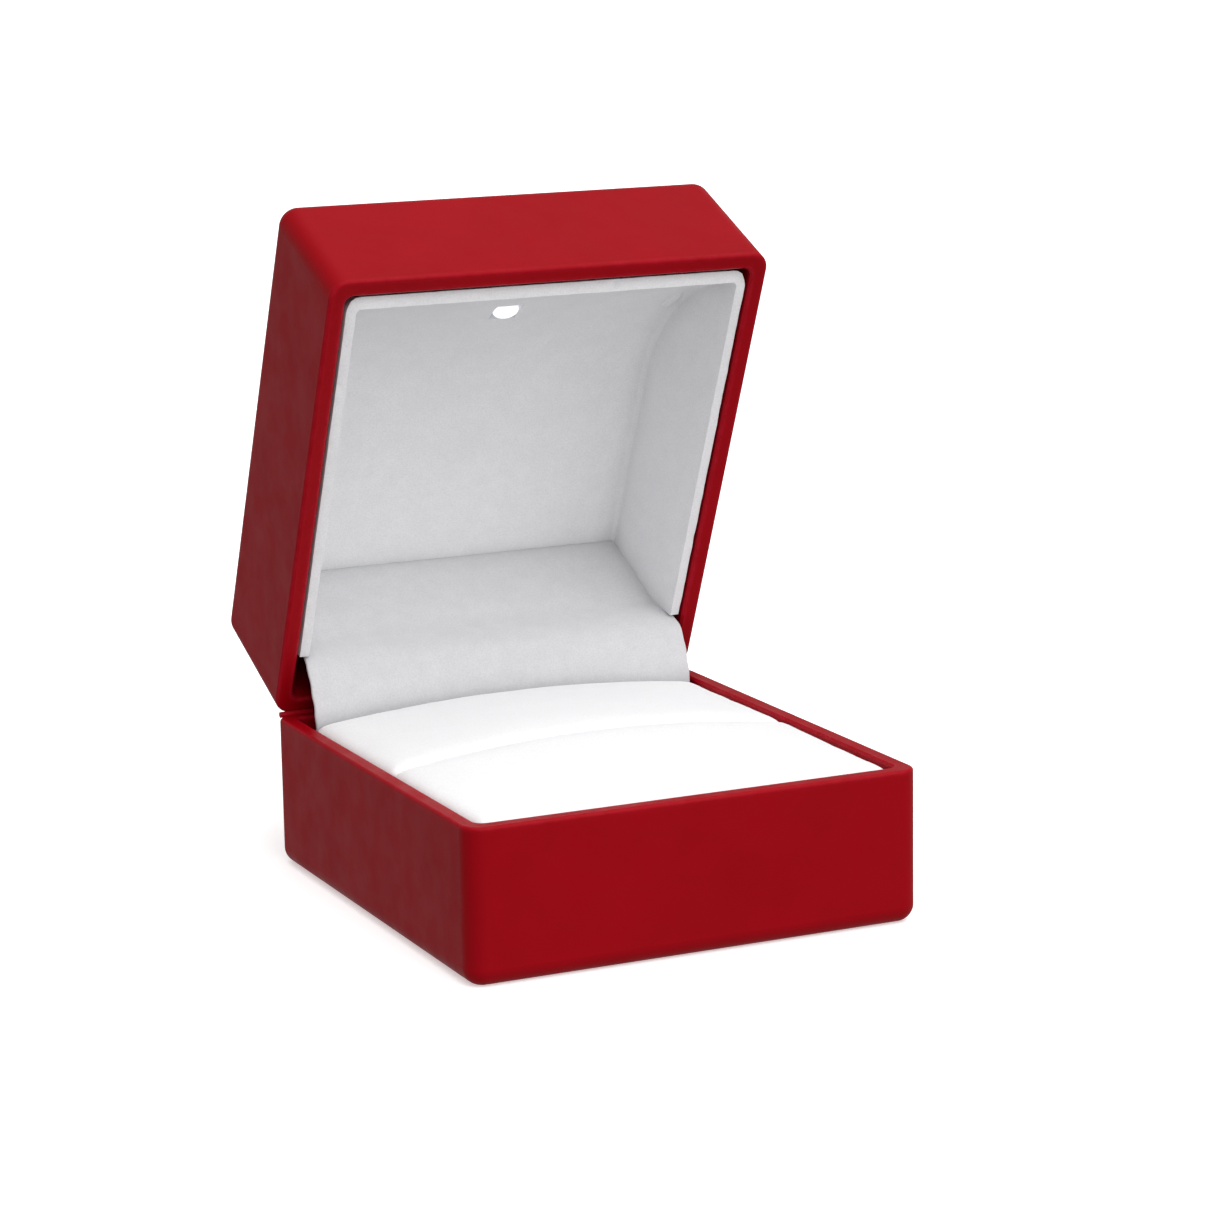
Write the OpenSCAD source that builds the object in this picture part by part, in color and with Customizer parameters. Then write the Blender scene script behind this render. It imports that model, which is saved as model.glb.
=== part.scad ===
// Ring box with a lamp in its lid: two moulded shells on a steel leaf hinge,
// a cushion insert with a ring slot, a velvet lid lining, and a button-cell
// lamp that a switch turns off as the lid closes.
// Origin: centre of the underside. X runs across the front, Y to the back, Z up.
// The lid's pieces are written closed, then swung open about the hinge pin.

/* [Box] */
// Width across the front
body_w = 60; // [54:1:80]
// Depth from front to back
body_d = 65; // [60:1:90]
// Height of the base
base_h = 19.5; // [18:0.5:30]
// Height of the lid
lid_h = 20.5; // [18:0.5:32]
// Wall of both shells
wall = 2.2; // [1.8:0.1:3]
// Floor of the base and top of the lid
floor_t = 2.2; // [1.6:0.1:3]
// Radius of the upright corners
corner_r = 2.5; // [2.4:0.1:5]
// Radius of the edges round the floor and round the lid's top
edge_r = 2.2; // [0.6:0.1:2.4]
// Radius along the outer edge of both rims
rim_r = 0.45; // [0.2:0.05:0.6]
// Bevel along the inner edge of both rims
rim_bevel = 0.3; // [0.1:0.05:0.5]

/* [Hinge] */
// How far the lid opens, in degrees
open_angle = 66; // [40:1:80]
// Gap between the two rims when the box is shut
rim_gap = 0.3; // [0.2:0.05:0.5]
// Diameter of the hinge pin
pin_d = 1.2; // [1:0.1:1.6]
// Radial clearance of the pin in the lid's knuckles
pin_clear = 0.05; // [0.03:0.01:0.08]
// Sheet thickness of the hinge leaves
leaf_t = 0.7; // [0.5:0.1:0.9]
// Width of the hinge leaves
leaf_w = 24; // [20:1:30]
// Height of each leaf's flat plate
leaf_h = 9; // [7:0.5:10]
// Width of each outer knuckle, on the base's leaf
outer_knuckle_w = 5; // [4:0.5:5.5]
// Width of each inner knuckle, on the lid's leaf
inner_knuckle_w = 3.6; // [2.5:0.1:3.8]
// Gap between knuckles, and round them in the wall
knuckle_gap = 0.3; // [0.2:0.1:0.5]
// How far the moulded pads hold the leaves off the walls
pad_t = 1.3; // [1:0.1:1.5]
// Diameter of the leaf screws
screw_d = 1.6; // [1.4:0.1:1.8]
// Distance between the two screws of a leaf
screw_pitch = 16; // [12:1:18]
// Wire of the hinge spring
spring_wire = 0.4; // [0.3:0.05:0.45]

/* [Cushion] */
// Gap between the insert and the walls
insert_gap = 0.8; // [0.5:0.1:1.5]
// Space kept free behind the insert for the hinge
hinge_room = 5.1; // [4.8:0.1:8]
// Thickness of the insert's board
board_t = 1.2; // [0.8:0.1:2]
// Free height between the battery case and the board
case_headroom = 0.35; // [0.2:0.05:1]
// How far the cushions' middle stands above the base's rim
crown = 2; // [1:0.1:3]
// How far the cushions fall from their middle to the edge of the insert
crown_fall = 2.3; // [2:0.1:4]
// Radius round the top and the corners of each cushion
cushion_r = 2.2; // [1:0.1:4]
// Width of the ring slot
slot_w = 0.4; // [0.3:0.1:1]
// Place of the ring slot, behind the middle of the box
slot_y = -2.1; // [-8:0.1:4]

/* [Lid lining] */
// Thickness of the velvet covered panels
panel_t = 1.5; // [1.2:0.1:1.6]
// Thickness of the panel under the lid's top
top_panel_t = 1; // [0.8:0.1:1.5]
// Thickness of the side panels
side_t = 1.1; // [0.8:0.1:1.2]
// Gap between the side panels' rims and the walls
side_gap = 0.6; // [0.4:0.1:1]
// How far the side panels lean in over their height
side_lean = 1.4; // [0.8:0.1:1.6]
// How far the sloping front panel leans back
slope_run = 12.8; // [10:0.1:16]
// How far the lining stays inside the lid's rim
lining_inset = 0.25; // [0.2:0.05:0.6]
// Gap where two panels butt
joint_gap = 0.05; // [0.03:0.01:0.15]

/* [Flap] */
// Thickness of the cloth over the hinge
flap_t = 0.6; // [0.4:0.1:0.7]
// Gap between each end of the flap and the walls
flap_gap = 1.4; // [1.4:0.1:2]

/* [Lamp] */
// Diameter of the lamp's lens
lamp_d = 3.6; // [3:0.1:4.4]
// Gap between the lens and the left and right edges of its window
window_side_gap = 0.25; // [0.1:0.05:0.6]
// Gap between the lens and the window's edge nearer the rim
window_rim_gap = 0.75; // [0.1:0.05:1]
// Gap between the lens and the window's far edge
window_far_gap = 0.05; // [0.05:0.05:0.6]
// Place of the window, as a share of the slope from the rim
window_place = 0.7; // [0.5:0.01:0.72]
// How far the lens stands out of the slope
lamp_out = 0.7; // [0.2:0.1:1.2]

/* [Battery and switch] */
// Diameter of a button cell
cell_d = 7.9; // [6.4:0.1:9.5]
// Thickness of a button cell
cell_t = 3.6; // [2:0.1:4.2]
// Travel of the switch's plunger
plunger_travel = 0.8; // [0.5:0.1:1]
// Diameter of the plunger
plunger_d = 1.6; // [1.2:0.1:1.8]
// Diameter of the leads over their insulation
lead_d = 0.9; // [0.7:0.1:1]

/* [Hidden] */
$fn = 64;
eps = 0.01;                                  // overshoot of a cutter
fit = 0.05;                                  // radial clearance of a plain fit

in_w = body_w - 2 * wall;
in_d = body_d - 2 * wall;
in_back = in_d / 2;
inner_corner_r = max(corner_r - wall, 1.2);
inner_foot_r = 0.8;

// hinge axis, just inside the back face and midway between the rims
pin_inset = 0.15;
hinge_y = body_d / 2 - pin_inset;
hinge_z = base_h + rim_gap / 2;
barrel_r = pin_d / 2 + pin_clear + leaf_t;
leaf_y = in_back - pad_t - leaf_t;           // front face of the leaves
notch_w = leaf_w + 2 * knuckle_gap;
notch_reach = barrel_r + knuckle_gap;        // from the axis into each wall
pad_w = leaf_w + 0.6;
screw_drop = barrel_r + 0.5 * leaf_h;        // from the axis to the screws
screw_head_d = 2.8;
screw_head_t = 0.7;
screw_bite = 1.3;                            // how far a screw enters the wall

// closed lid
lid_z = base_h + rim_gap;
lid_top = lid_z + lid_h;
lid_ceiling = lid_top - floor_t;

// battery case, on the floor under the insert
case_y = 12;
case_wall = 0.9;
case_floor = 0.7;
contact_t = 0.2;
contact_w = 3.2;
pocket_r = cell_d / 2 + 0.15;
cell_x = pocket_r + 0.5;
case_w = 2 * (cell_x + pocket_r + case_wall);
case_d = 2 * (pocket_r + case_wall);
cell_z = floor_t + case_floor + contact_t;
case_top = cell_z + cell_t + contact_t;
cover_t = 0.7;
tail_len = 1.6;                              // contact tail behind the case
tail_end = case_y + case_d / 2 + tail_len + joint_gap;

// insert
insert_w = in_w - 2 * insert_gap;
insert_front = -in_d / 2 + insert_gap;
insert_back = in_back - hinge_room;
board_z = case_top + fit + cover_t + case_headroom;
post_r = 2;
post_inset = 3.2;
cushion_top = base_h + crown;
cushion_z = board_z + board_t;
crown_y = (insert_front + insert_back) / 2;

// lid lining, as points (y, z) of the closed box
lining_z = lid_z + lining_inset;
ceiling_z = lid_ceiling - top_panel_t;
slope_lip = panel_t * 1.24 + 0.14;           // from the wall to the slope's face at the rim
slope_foot = [-in_d / 2 + slope_lip, lining_z];
slope_head = [slope_foot[0] + slope_run, ceiling_z];
slope_lean = atan((slope_head[0] - slope_foot[0]) / (slope_head[1] - slope_foot[1]));
slope_back = panel_t / cos(slope_lean);      // panel thickness along Y
side_face = in_w / 2 - side_gap - side_t;    // inner face of a side panel at the rim
side_tilt = atan(side_lean / (ceiling_z - lining_z));
back_foot = [in_back - 5.8, lid_z + 4.85];   // cloth on the back lining, lower end
back_head = [in_back - 7.9, ceiling_z];      // and upper end
back_rim = [in_back - 6.7, lining_z];        // side panels' rear corner at the rim
back_dir = (back_head - back_foot) / norm(back_head - back_foot);
back_out = [back_dir[1], -back_dir[0]];      // from the cloth towards the back wall
back_board_t = 1;
cloth_bend = 3;                              // from back_foot, where the cloth leaves its board

// lamp, in the slope's own axes: X across, Y to the rim, Z out of the slope
window_at = slope_foot + window_place * (slope_head - slope_foot);
lamp_tilt = -(90 + slope_lean);
slope_out = [cos(slope_lean), -sin(slope_lean)];
window_w = lamp_d + 2 * window_side_gap;
window_h = lamp_d + window_rim_gap + window_far_gap;
lamp_offset = (window_far_gap - window_rim_gap) / 2;
housing_size = lamp_d + 2.8;
housing_t = 3.6;
lamp_board_t = 0.8;
lamp_board_w = 10;
lamp_board_back = panel_t + housing_t + 2 * joint_gap + lamp_board_t;
lamp_pad_x = 3;                              // of a lead's end on the board

// switch, against the back wall beside the hinge
switch_x = -(pad_w / 2 + 6.7);
switch_w = 6.4;
switch_d = 3.3;
switch_y = in_back - 0.1 - switch_d / 2;
switch_foot = 8.2;                           // its underside, above the table
cap_t = 2.4;
cap_top = base_h - 1.7;
cap_foot = cap_top - cap_t;
chamber_r = plunger_d / 2 + 0.45;
chamber_h = 5;
flange_r = chamber_r - fit;
flange_t = 1;
flange_gap = 0.3;                            // between the raised flange and the cap
plunger_out = 3.4;                           // above the cap at rest
plunger_top = cap_top + plunger_out;
flange_top = cap_foot - flange_gap;
striker_gap = 0.3;
striker_w = 3;
striker_z = plunger_top - plunger_travel + striker_gap;
striker_h = 3.3;
switch_coil_wire = 0.25;
switch_coil_r = chamber_r - 0.1 - switch_coil_wire / 2;
terminal_t = 0.4;
terminal_x = 1.6;
terminal_len = 1.8;

// leads: routes chosen by hand, on the right of the hinge
red_x = 16;
black_x = 18;
lead_y = in_back - 1.5;
loop_foot = 14;                              // height where the loop over the hinge starts
loop_head = 25;                              // and ends, on the closed lid
lead_side_x = in_w / 2 - lead_d / 2 - 0.2;

function swing(p) = let (y = p[1] - hinge_y, z = p[2] - hinge_z)
    [p[0], hinge_y + y * cos(open_angle) + z * sin(open_angle),
     hinge_z - y * sin(open_angle) + z * cos(open_angle)];
function swing_yz(p) = let (q = swing([0, p[0], p[1]])) [q[1], q[2]];
function unit(v) = v / norm(v);
function blend4(a, b, c, d, t) = 0.5 * (2 * b + (c - a) * t
    + (2 * a - 5 * b + 4 * c - d) * t * t + (3 * b - a - 3 * c + d) * t * t * t);
// a smooth curve through the points p, with `steps` pieces between each two
function curve(p, steps) = let (n = len(p) - 1) concat([for (i = [0 : n - 1], s = [0 : steps - 1])
    blend4(p[max(i - 1, 0)], p[i], p[i + 1], p[min(i + 2, n)], s / steps)], [p[n]]);
// the points of p moved sideways by d, to the left of their direction
function beside(p, d) = let (n = len(p) - 1) [for (i = [0 : n])
    let (t = unit(p[min(i + 1, n)] - p[max(i - 1, 0)])) p[i] + d * [-t[1], t[0]]];
function flip(p) = [for (i = [len(p) - 1 : -1 : 0]) p[i]];

// the flap's front face at rest, from behind the cushion to the lid's lining
flap_y = insert_back + 0.2;
flap_base = [[flap_y, board_z + 4], [flap_y, base_h - 1.5], [flap_y + 0.3, base_h + 1],
             [flap_y + 1, base_h + 3.4], [flap_y + 1.9, base_h + 5.5], [flap_y + 3.2, base_h + 7.3],
             [flap_y + 5.3, base_h + 8.5]];
flap_face = concat(curve(concat(flap_base, [swing_yz(back_foot),
                                            swing_yz(back_foot + cloth_bend * back_dir)]), 4),
                   [swing_yz(back_head - joint_gap * back_dir)]);

// leads in the base, round the back of the battery case and along the back wall
switch_lead_route = [[-cell_x, tail_end, case_top - 0.1], [-cell_x, tail_end + 1.2, case_top - 0.2],
                     [-cell_x - 3, tail_end + 3.2, 6.2], [switch_x + 6, in_back - 5.8, 5.8],
                     [switch_x, switch_y - 1.6, 5.2], [switch_x - terminal_x, switch_y, 5.2],
                     [switch_x - terminal_x, switch_y, switch_foot - terminal_len - 0.1]];
red_route = [[switch_x + terminal_x, switch_y, switch_foot - terminal_len - 0.1],
             [switch_x + terminal_x + 0.2, switch_y - 0.8, 4.8], [switch_x + 3.2, switch_y - 2.4, 3.6],
             [switch_x + 7, in_back - 4.1, 3.2], [-4, in_back - 3.3, 3.2], [8, in_back - 2.7, 3.2],
             [red_x - 2, in_back - 2.3, 4.4], [red_x, lead_y, 8], [red_x, lead_y, loop_foot]];
black_route = [[cell_x, tail_end, case_top - 0.1], [cell_x, tail_end + 1.2, case_top - 0.3],
               [cell_x + 3, tail_end + 3, 5.5], [black_x - 4, in_back - 6.3, 3.4],
               [black_x, in_back - 3.3, 5], [black_x, lead_y, 9], [black_x, lead_y, loop_foot]];
// the loop over the hinge, at rest
function loop_route(x) = [[x, lead_y, loop_foot + joint_gap], [x, lead_y - 0.1, base_h - 2.5],
    [x, lead_y - 0.2, base_h + 0.6], [x, lead_y + 1.4, base_h + 3.2],
    swing([x, lead_y - 0.2, loop_head - 1.6]), swing([x, lead_y, loop_head - 2 * joint_gap])];
// behind the lamp's board: a point `depth` behind the slope's face
function behind_slope(x, depth) =
    [x, window_at[0] - depth * slope_out[0], window_at[1] - depth * slope_out[1]];
// up the lid's back wall and along the right wall at height z
function side_route(x, z) = [[x, lead_y, loop_head], [x, lead_y, z - 4], [x + 1.6, lead_y, z - 1],
    [lead_side_x - 3, lead_y - 0.4, z], [lead_side_x - 0.3, lead_y - 2.6, z],
    [lead_side_x, 18, z], [lead_side_x, 0, z], [lead_side_x, slope_head[0] - 3, z],
    [lead_side_x - 0.8, slope_head[0] - 6, z]];
lid_red_route = concat(side_route(red_x, ceiling_z - 0.6),
    [[lead_side_x - 4, slope_head[0] - 8, ceiling_z - 0.6], behind_slope(12, 7.4),
     behind_slope(lamp_pad_x + 2, 7.4), behind_slope(lamp_pad_x, 7),
     behind_slope(lamp_pad_x, lamp_board_back + joint_gap)]);
lid_black_route = concat(side_route(black_x, ceiling_z - 1.9),
    [[lead_side_x - 4, slope_head[0] - 9.6, ceiling_z - 1.2], behind_slope(12, 9),
     behind_slope(4, 9), behind_slope(-lamp_pad_x + 2, 8), behind_slope(-lamp_pad_x, 7.2),
     behind_slope(-lamp_pad_x, lamp_board_back + joint_gap)]);

// half of an outline in X and Z: square inside, rounded at its outer foot and head
module half_outline(reach, h, foot_r, head_r) {
    difference() {
        square([reach, h]);
        if (foot_r > 0) translate([reach - foot_r, 0]) difference() {
            translate([0, -eps]) square([foot_r + eps, foot_r + eps]);
            translate([0, foot_r]) circle(foot_r);
        }
        if (head_r > 0) translate([reach - head_r, h - head_r]) difference() {
            square([head_r + eps, head_r + eps]);
            circle(head_r);
        }
    }
}

module outline(reach, h, foot_r, head_r) {
    half_outline(reach, h, foot_r, head_r);
    mirror([1, 0]) half_outline(reach, h, foot_r, head_r);
}

// a block on z = 0 with round upright corners and rounded lower and upper edges
module round_block(w, d, h, plan_r, foot_r = 0, head_r = 0) {
    translate([0, d / 2 - plan_r, 0]) rotate([90, 0, 0])
        linear_extrude(d - 2 * plan_r) outline(w / 2, h, foot_r, head_r);
    translate([plan_r - w / 2, 0, 0]) rotate([90, 0, 90])
        linear_extrude(w - 2 * plan_r) outline(d / 2, h, foot_r, head_r);
    for (sx = [-1, 1], sy = [-1, 1])
        translate([sx * (w / 2 - plan_r), sy * (d / 2 - plan_r), 0])
            rotate_extrude() half_outline(plan_r, h, foot_r, head_r);
}

// cutter for the bevel round a rim's inner edge, widening upwards to z = 0
module rim_bevel_cutter(w, d, plan_r, size) {
    for (side = [0, 1]) {
        across = side == 0 ? w : d;
        along = side == 0 ? d : w;
        rotate([90, 0, side * 90]) translate([0, 0, plan_r - along / 2])
            linear_extrude(along - 2 * plan_r)
                polygon([[-across / 2, -size], [across / 2, -size],
                         [across / 2 + size + eps, eps], [-across / 2 - size - eps, eps]]);
    }
    for (sx = [-1, 1], sy = [-1, 1])
        translate([sx * (w / 2 - plan_r), sy * (d / 2 - plan_r), -size])
            cylinder(h = size + eps, r1 = plan_r, r2 = plan_r + size + eps);
}

// an empty shell with its floor on z = 0 and its rim at h
module shell(h) {
    difference() {
        round_block(body_w, body_d, h, corner_r, edge_r, rim_r);
        translate([0, 0, floor_t])
            round_block(in_w, in_d, h, inner_corner_r, inner_foot_r);
        translate([0, 0, h]) rim_bevel_cutter(in_w, in_d, inner_corner_r, rim_bevel);
    }
}

// puts a piece of the closed lid in its open place
module opened() {
    translate([0, hinge_y, hinge_z]) rotate([-open_angle, 0, 0])
        translate([0, -hinge_y, -hinge_z]) children();
}

// what is below the hinge axis becomes its twin above it
module over_axis() {
    translate([0, 0, hinge_z]) mirror([0, 0, 1]) translate([0, 0, -hinge_z]) children();
}

// along X, from -w / 2 + x to w / 2 + x, an outline given in Y and Z
module extrude_x(w, x = 0) {
    translate([x - w / 2, 0, 0]) rotate([90, 0, 90]) linear_extrude(w) children();
}

// a round tube along a route, with flat ends; `up` is never along the route
module tube(route, d, up, sides = 8) {
    n = len(route);
    points = [for (i = [0 : n - 1]) let (
        t = unit(route[min(i + 1, n - 1)] - route[max(i - 1, 0)]),
        u = unit(cross(up, t)), v = cross(t, u))
        for (k = [0 : sides - 1]) route[i] + d / 2 * (cos(360 * k / sides) * u + sin(360 * k / sides) * v)];
    walls = [for (i = [0 : n - 2], k = [0 : sides - 1], half = [0, 1]) let (
        a = i * sides + k, b = i * sides + (k + 1) % sides)
        half == 0 ? [a, a + sides, b + sides] : [a, b + sides, b]];
    polyhedron(points, concat([[for (k = [0 : sides - 1]) k]],
        [[for (k = [sides - 1 : -1 : 0]) (n - 1) * sides + k]], walls));
}

// hinge pieces below the axis: pad, leaf and screws

module hinge_pad() {
    translate([-pad_w / 2, in_back - pad_t, hinge_z - notch_reach - leaf_h])
        cube([pad_w, pad_t + eps, leaf_h]);
}

module hinge_notch() {
    translate([-notch_w / 2, in_back - eps, hinge_z - notch_reach])
        cube([notch_w, wall + 2 * eps, notch_reach + eps]);
}

module screw_holes(d, from_y, to_y) {
    for (s = [-1, 1]) translate([s * screw_pitch / 2, to_y, hinge_z - screw_drop])
        rotate([90, 0, 0]) cylinder(h = to_y - from_y, d = d);
}

module knuckle(w, x, bore_r) {
    difference() {
        extrude_x(w, x) union() {
            translate([hinge_y, hinge_z]) circle(barrel_r);
            translate([leaf_y, hinge_z - barrel_r]) square([hinge_y - leaf_y, leaf_t]);
            translate([leaf_y, hinge_z - barrel_r - 1]) square([leaf_t, 1 + leaf_t]);
        }
        translate([x - w / 2 - 1, hinge_y, hinge_z]) rotate([0, 90, 0])
            cylinder(h = w + 2, r = bore_r);
    }
}

module leaf(knuckles, w, bore_r) {
    plate_top = hinge_z - barrel_r - knuckle_gap;
    difference() {
        union() {
            translate([-leaf_w / 2, leaf_y, hinge_z - notch_reach - leaf_h])
                cube([leaf_w, leaf_t, plate_top - (hinge_z - notch_reach - leaf_h)]);
            for (x = knuckles) knuckle(w, x, bore_r);
        }
        screw_holes(screw_d + 2 * fit, leaf_y - 1, in_back);
    }
}

module leaf_screws() {
    for (s = [-1, 1]) translate([s * screw_pitch / 2, leaf_y, hinge_z - screw_drop]) difference() {
        union() {
            rotate([-90, 0, 0]) cylinder(h = leaf_t + pad_t + screw_bite, d = screw_d);
            rotate([90, 0, 0]) cylinder(h = screw_head_t, d = screw_head_d);
        }
        for (turn = [0, 90]) translate([0, -screw_head_t, 0]) rotate([0, turn, 0])
            cube([1.6, 0.7, 0.35], center = true);
    }
}

module pilot_holes() {
    screw_holes(screw_d, in_back - pad_t - 1, in_back + screw_bite);
}

// base

module base_shell() {
    rib_w = 0.9;
    color("firebrick") difference() {
        union() {
            shell(base_h);
            hinge_pad();
            for (sx = [-1, 1], y = [insert_front + post_inset, insert_back - post_inset])
                translate([sx * (insert_w / 2 - post_inset), y, floor_t - eps])
                    cylinder(h = board_z - floor_t + eps, r = post_r);
            for (s = [-1, 1])
                translate([switch_x + s * (switch_w / 2 + fit + rib_w / 2) - rib_w / 2,
                           in_back - switch_d, floor_t - eps])
                    cube([rib_w, switch_d + eps, switch_foot + 3 - floor_t]);
        }
        hinge_notch();
        pilot_holes();
    }
}

module insert_board() {
    color("tan") translate([-insert_w / 2, insert_front, board_z])
        cube([insert_w, insert_back - insert_front, board_t]);
}

// a long cylinder whose top is the crown over a given span
module crown_limit(span) {
    r = (span * span / 4 + crown_fall * crown_fall) / (2 * crown_fall);
    translate([0, 0, cushion_top - r]) rotate([90, 0, 0])
        cylinder(h = 200, r = r, center = true, $fn = 360);
}

module cushion(front, back) {
    intersection() {
        translate([0, (front + back) / 2, cushion_z])
            round_block(insert_w, back - front, cushion_top - cushion_z, cushion_r, 0, cushion_r);
        crown_limit(insert_w);
        translate([0, crown_y, 0]) rotate([0, 0, 90]) crown_limit(insert_back - insert_front);
    }
}

module front_cushion() {
    color("white") cushion(insert_front, slot_y - slot_w / 2);
}

module rear_cushion() {
    color("white") cushion(slot_y + slot_w / 2, insert_back);
}

module cell_places() {
    for (s = [-1, 1]) translate([s * cell_x, case_y, 0]) children();
}

module battery_case() {
    color("dimgray") difference() {
        translate([-case_w / 2, case_y - case_d / 2, floor_t])
            cube([case_w, case_d, case_top - floor_t]);
        cell_places() translate([0, 0, cell_z]) cylinder(h = 20, r = pocket_r);
        // seat of the bridging contact
        translate([-cell_x - 3, case_y - contact_w / 2 - fit, cell_z - contact_t])
            cube([2 * cell_x + 6, contact_w + 2 * fit, contact_t + 1]);
        // ways out for the two tails
        cell_places() translate([-contact_w / 2 - fit, 0, case_top - contact_t - fit])
            cube([contact_w + 2 * fit, case_d, 1]);
    }
}

module battery_cover() {
    color("dimgray") translate([-case_w / 2, case_y - case_d / 2, case_top + fit]) difference() {
        cube([case_w, case_d, cover_t]);
        // grip for opening it
        translate([case_w / 2, 1.6, cover_t]) rotate([0, 90, 0])
            cylinder(h = 6, r = 0.35, center = true);
    }
}

module button_cells() {
    can_t = cell_t - 0.5;
    color("silver") cell_places() translate([0, 0, cell_z]) {
        cylinder(h = 0.5 + eps, d = cell_d - 1.6);
        translate([0, 0, 0.5]) cylinder(h = can_t, d = cell_d);
    }
}

module battery_contacts() {
    color("goldenrod") {
        translate([-cell_x - 2.5, case_y - contact_w / 2, cell_z - contact_t])
            cube([2 * cell_x + 5, contact_w, contact_t]);
        cell_places() translate([-contact_w / 2, -2.5, case_top - contact_t])
            cube([contact_w, 2.5 + case_d / 2 + tail_len, contact_t]);
    }
}

module switch_place(z) {
    translate([switch_x, switch_y, z]) children();
}

module switch_body() {
    color("#303034") switch_place(switch_foot) difference() {
        translate([-switch_w / 2, -switch_d / 2, 0])
            cube([switch_w, switch_d, cap_foot - switch_foot]);
        translate([0, 0, cap_foot - switch_foot - chamber_h]) cylinder(h = 20, r = chamber_r);
        for (s = [-1, 1]) translate([s * terminal_x - 0.65, -terminal_t / 2, -eps])
            cube([1.3, terminal_t, 1 + eps]);
    }
}

module switch_cap() {
    color("#303034") switch_place(cap_foot) difference() {
        translate([-switch_w / 2, -switch_d / 2, 0]) cube([switch_w, switch_d, cap_t]);
        translate([0, 0, -1]) cylinder(h = 20, d = plunger_d + 2 * fit);
    }
}

module switch_terminals() {
    color("goldenrod") for (s = [-1, 1]) switch_place(switch_foot - terminal_len)
        translate([s * terminal_x - 0.6, -terminal_t / 2, 0])
            cube([1.2, terminal_t, terminal_len + 0.95]);
}

module switch_plunger() {
    color("ivory") switch_place(0) {
        translate([0, 0, flange_top - flange_t]) cylinder(h = flange_t, r = flange_r);
        translate([0, 0, flange_top - eps])
            cylinder(h = plunger_top - 0.3 - flange_top + eps, d = plunger_d);
        translate([0, 0, plunger_top - 0.3 - eps])
            cylinder(h = 0.3 + eps, d1 = plunger_d, d2 = plunger_d - 0.6);
    }
}

module switch_spring() {
    turns = 6;
    foot = cap_foot - chamber_h + switch_coil_wire / 2 + 0.02;
    head = flange_top - flange_t - switch_coil_wire / 2 - 0.02;
    route = [for (i = [0 : turns * 12]) [switch_coil_r * cos(i * 30), switch_coil_r * sin(i * 30),
                                         foot + (head - foot) * i / (turns * 12)]];
    color("silver") switch_place(0) tube(route, switch_coil_wire, [0, 0, 1], 6);
}

module base_hinge_leaf() {
    x = (leaf_w - outer_knuckle_w) / 2;
    color("silver") leaf([-x, x], outer_knuckle_w, pin_d / 2);
}

module hinge_pin() {
    color("lightgray") translate([-leaf_w / 2, hinge_y, hinge_z]) rotate([0, 90, 0])
        cylinder(h = leaf_w, d = pin_d);
}

module base_hinge_screws() {
    color("silver") leaf_screws();
}

// a wire wound round the pin: one arm lies on the base's leaf, the other on the lid's
module hinge_spring() {
    r = pin_d / 2 + 0.15 + spring_wire / 2;
    arm_y = leaf_y - spring_wire / 2 - 0.05;
    arm_len = 5;
    turns = 6;
    half = turns * spring_wire * 0.62;
    steps = 16;
    first = 270;
    last = 90 - open_angle + 360 * (turns + 1);
    coil = [for (i = [0 : steps * turns]) let (a = first + (last - first) * i / (steps * turns))
        [-half + 2 * half * i / (steps * turns), hinge_y + r * cos(a), hinge_z + r * sin(a)]];
    base_arm = [[-half, arm_y, hinge_z - r - arm_len], [-half, arm_y, hinge_z - r - 0.5],
                [-half, arm_y + 0.15, hinge_z - r - 0.15], [-half, arm_y + 0.5, hinge_z - r]];
    lid_arm = [for (p = flip(base_arm)) swing([half, p[1], 2 * hinge_z - p[2]])];
    color("silver") tube(concat(base_arm, coil, lid_arm), spring_wire, [1, 0, 0], 6);
}

module hinge_flap() {
    color("lightgray") extrude_x(in_w - 2 * flap_gap)
        polygon(concat(flap_face, flip(beside(flap_face, -flap_t))));
}

module switch_lead() {
    color("crimson") tube(curve(switch_lead_route, 4), lead_d, [0.2, 0.1, 1]);
}

module base_lead_red() {
    color("crimson") tube(curve(red_route, 4), lead_d, [0.3, 1, 0.1]);
}

module base_lead_black() {
    color("#202020") tube(curve(black_route, 4), lead_d, [1, -1, 0.1]);
}

module hinge_leads() {
    color("crimson") tube(curve(loop_route(red_x), 4), lead_d, [1, 0, 0]);
    color("#202020") tube(curve(loop_route(black_x), 4), lead_d, [1, 0, 0]);
}

// lid, written closed

module lid_shell() {
    color("firebrick") opened() difference() {
        union() {
            translate([0, 0, lid_top]) mirror([0, 0, 1]) shell(lid_h);
            over_axis() hinge_pad();
            // the block that presses the switch
            translate([switch_x - striker_w / 2, switch_y - switch_d / 2 + 0.7, striker_z])
                cube([striker_w, in_back - switch_y + switch_d / 2 - 0.7 + eps, striker_h]);
        }
        over_axis() hinge_notch();
        over_axis() pilot_holes();
    }
}

module lid_top_panel() {
    front = slope_head[0] - slope_back;
    back = back_head[0] + 2.4;
    color("gainsboro") opened() translate([-in_w / 2 + side_gap, front, ceiling_z + joint_gap])
        cube([in_w - 2 * side_gap, back - front, top_panel_t - 2 * joint_gap]);
}

module on_slope() {
    translate([0, window_at[0], window_at[1]]) rotate([lamp_tilt, 0, 0]) children();
}

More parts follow.
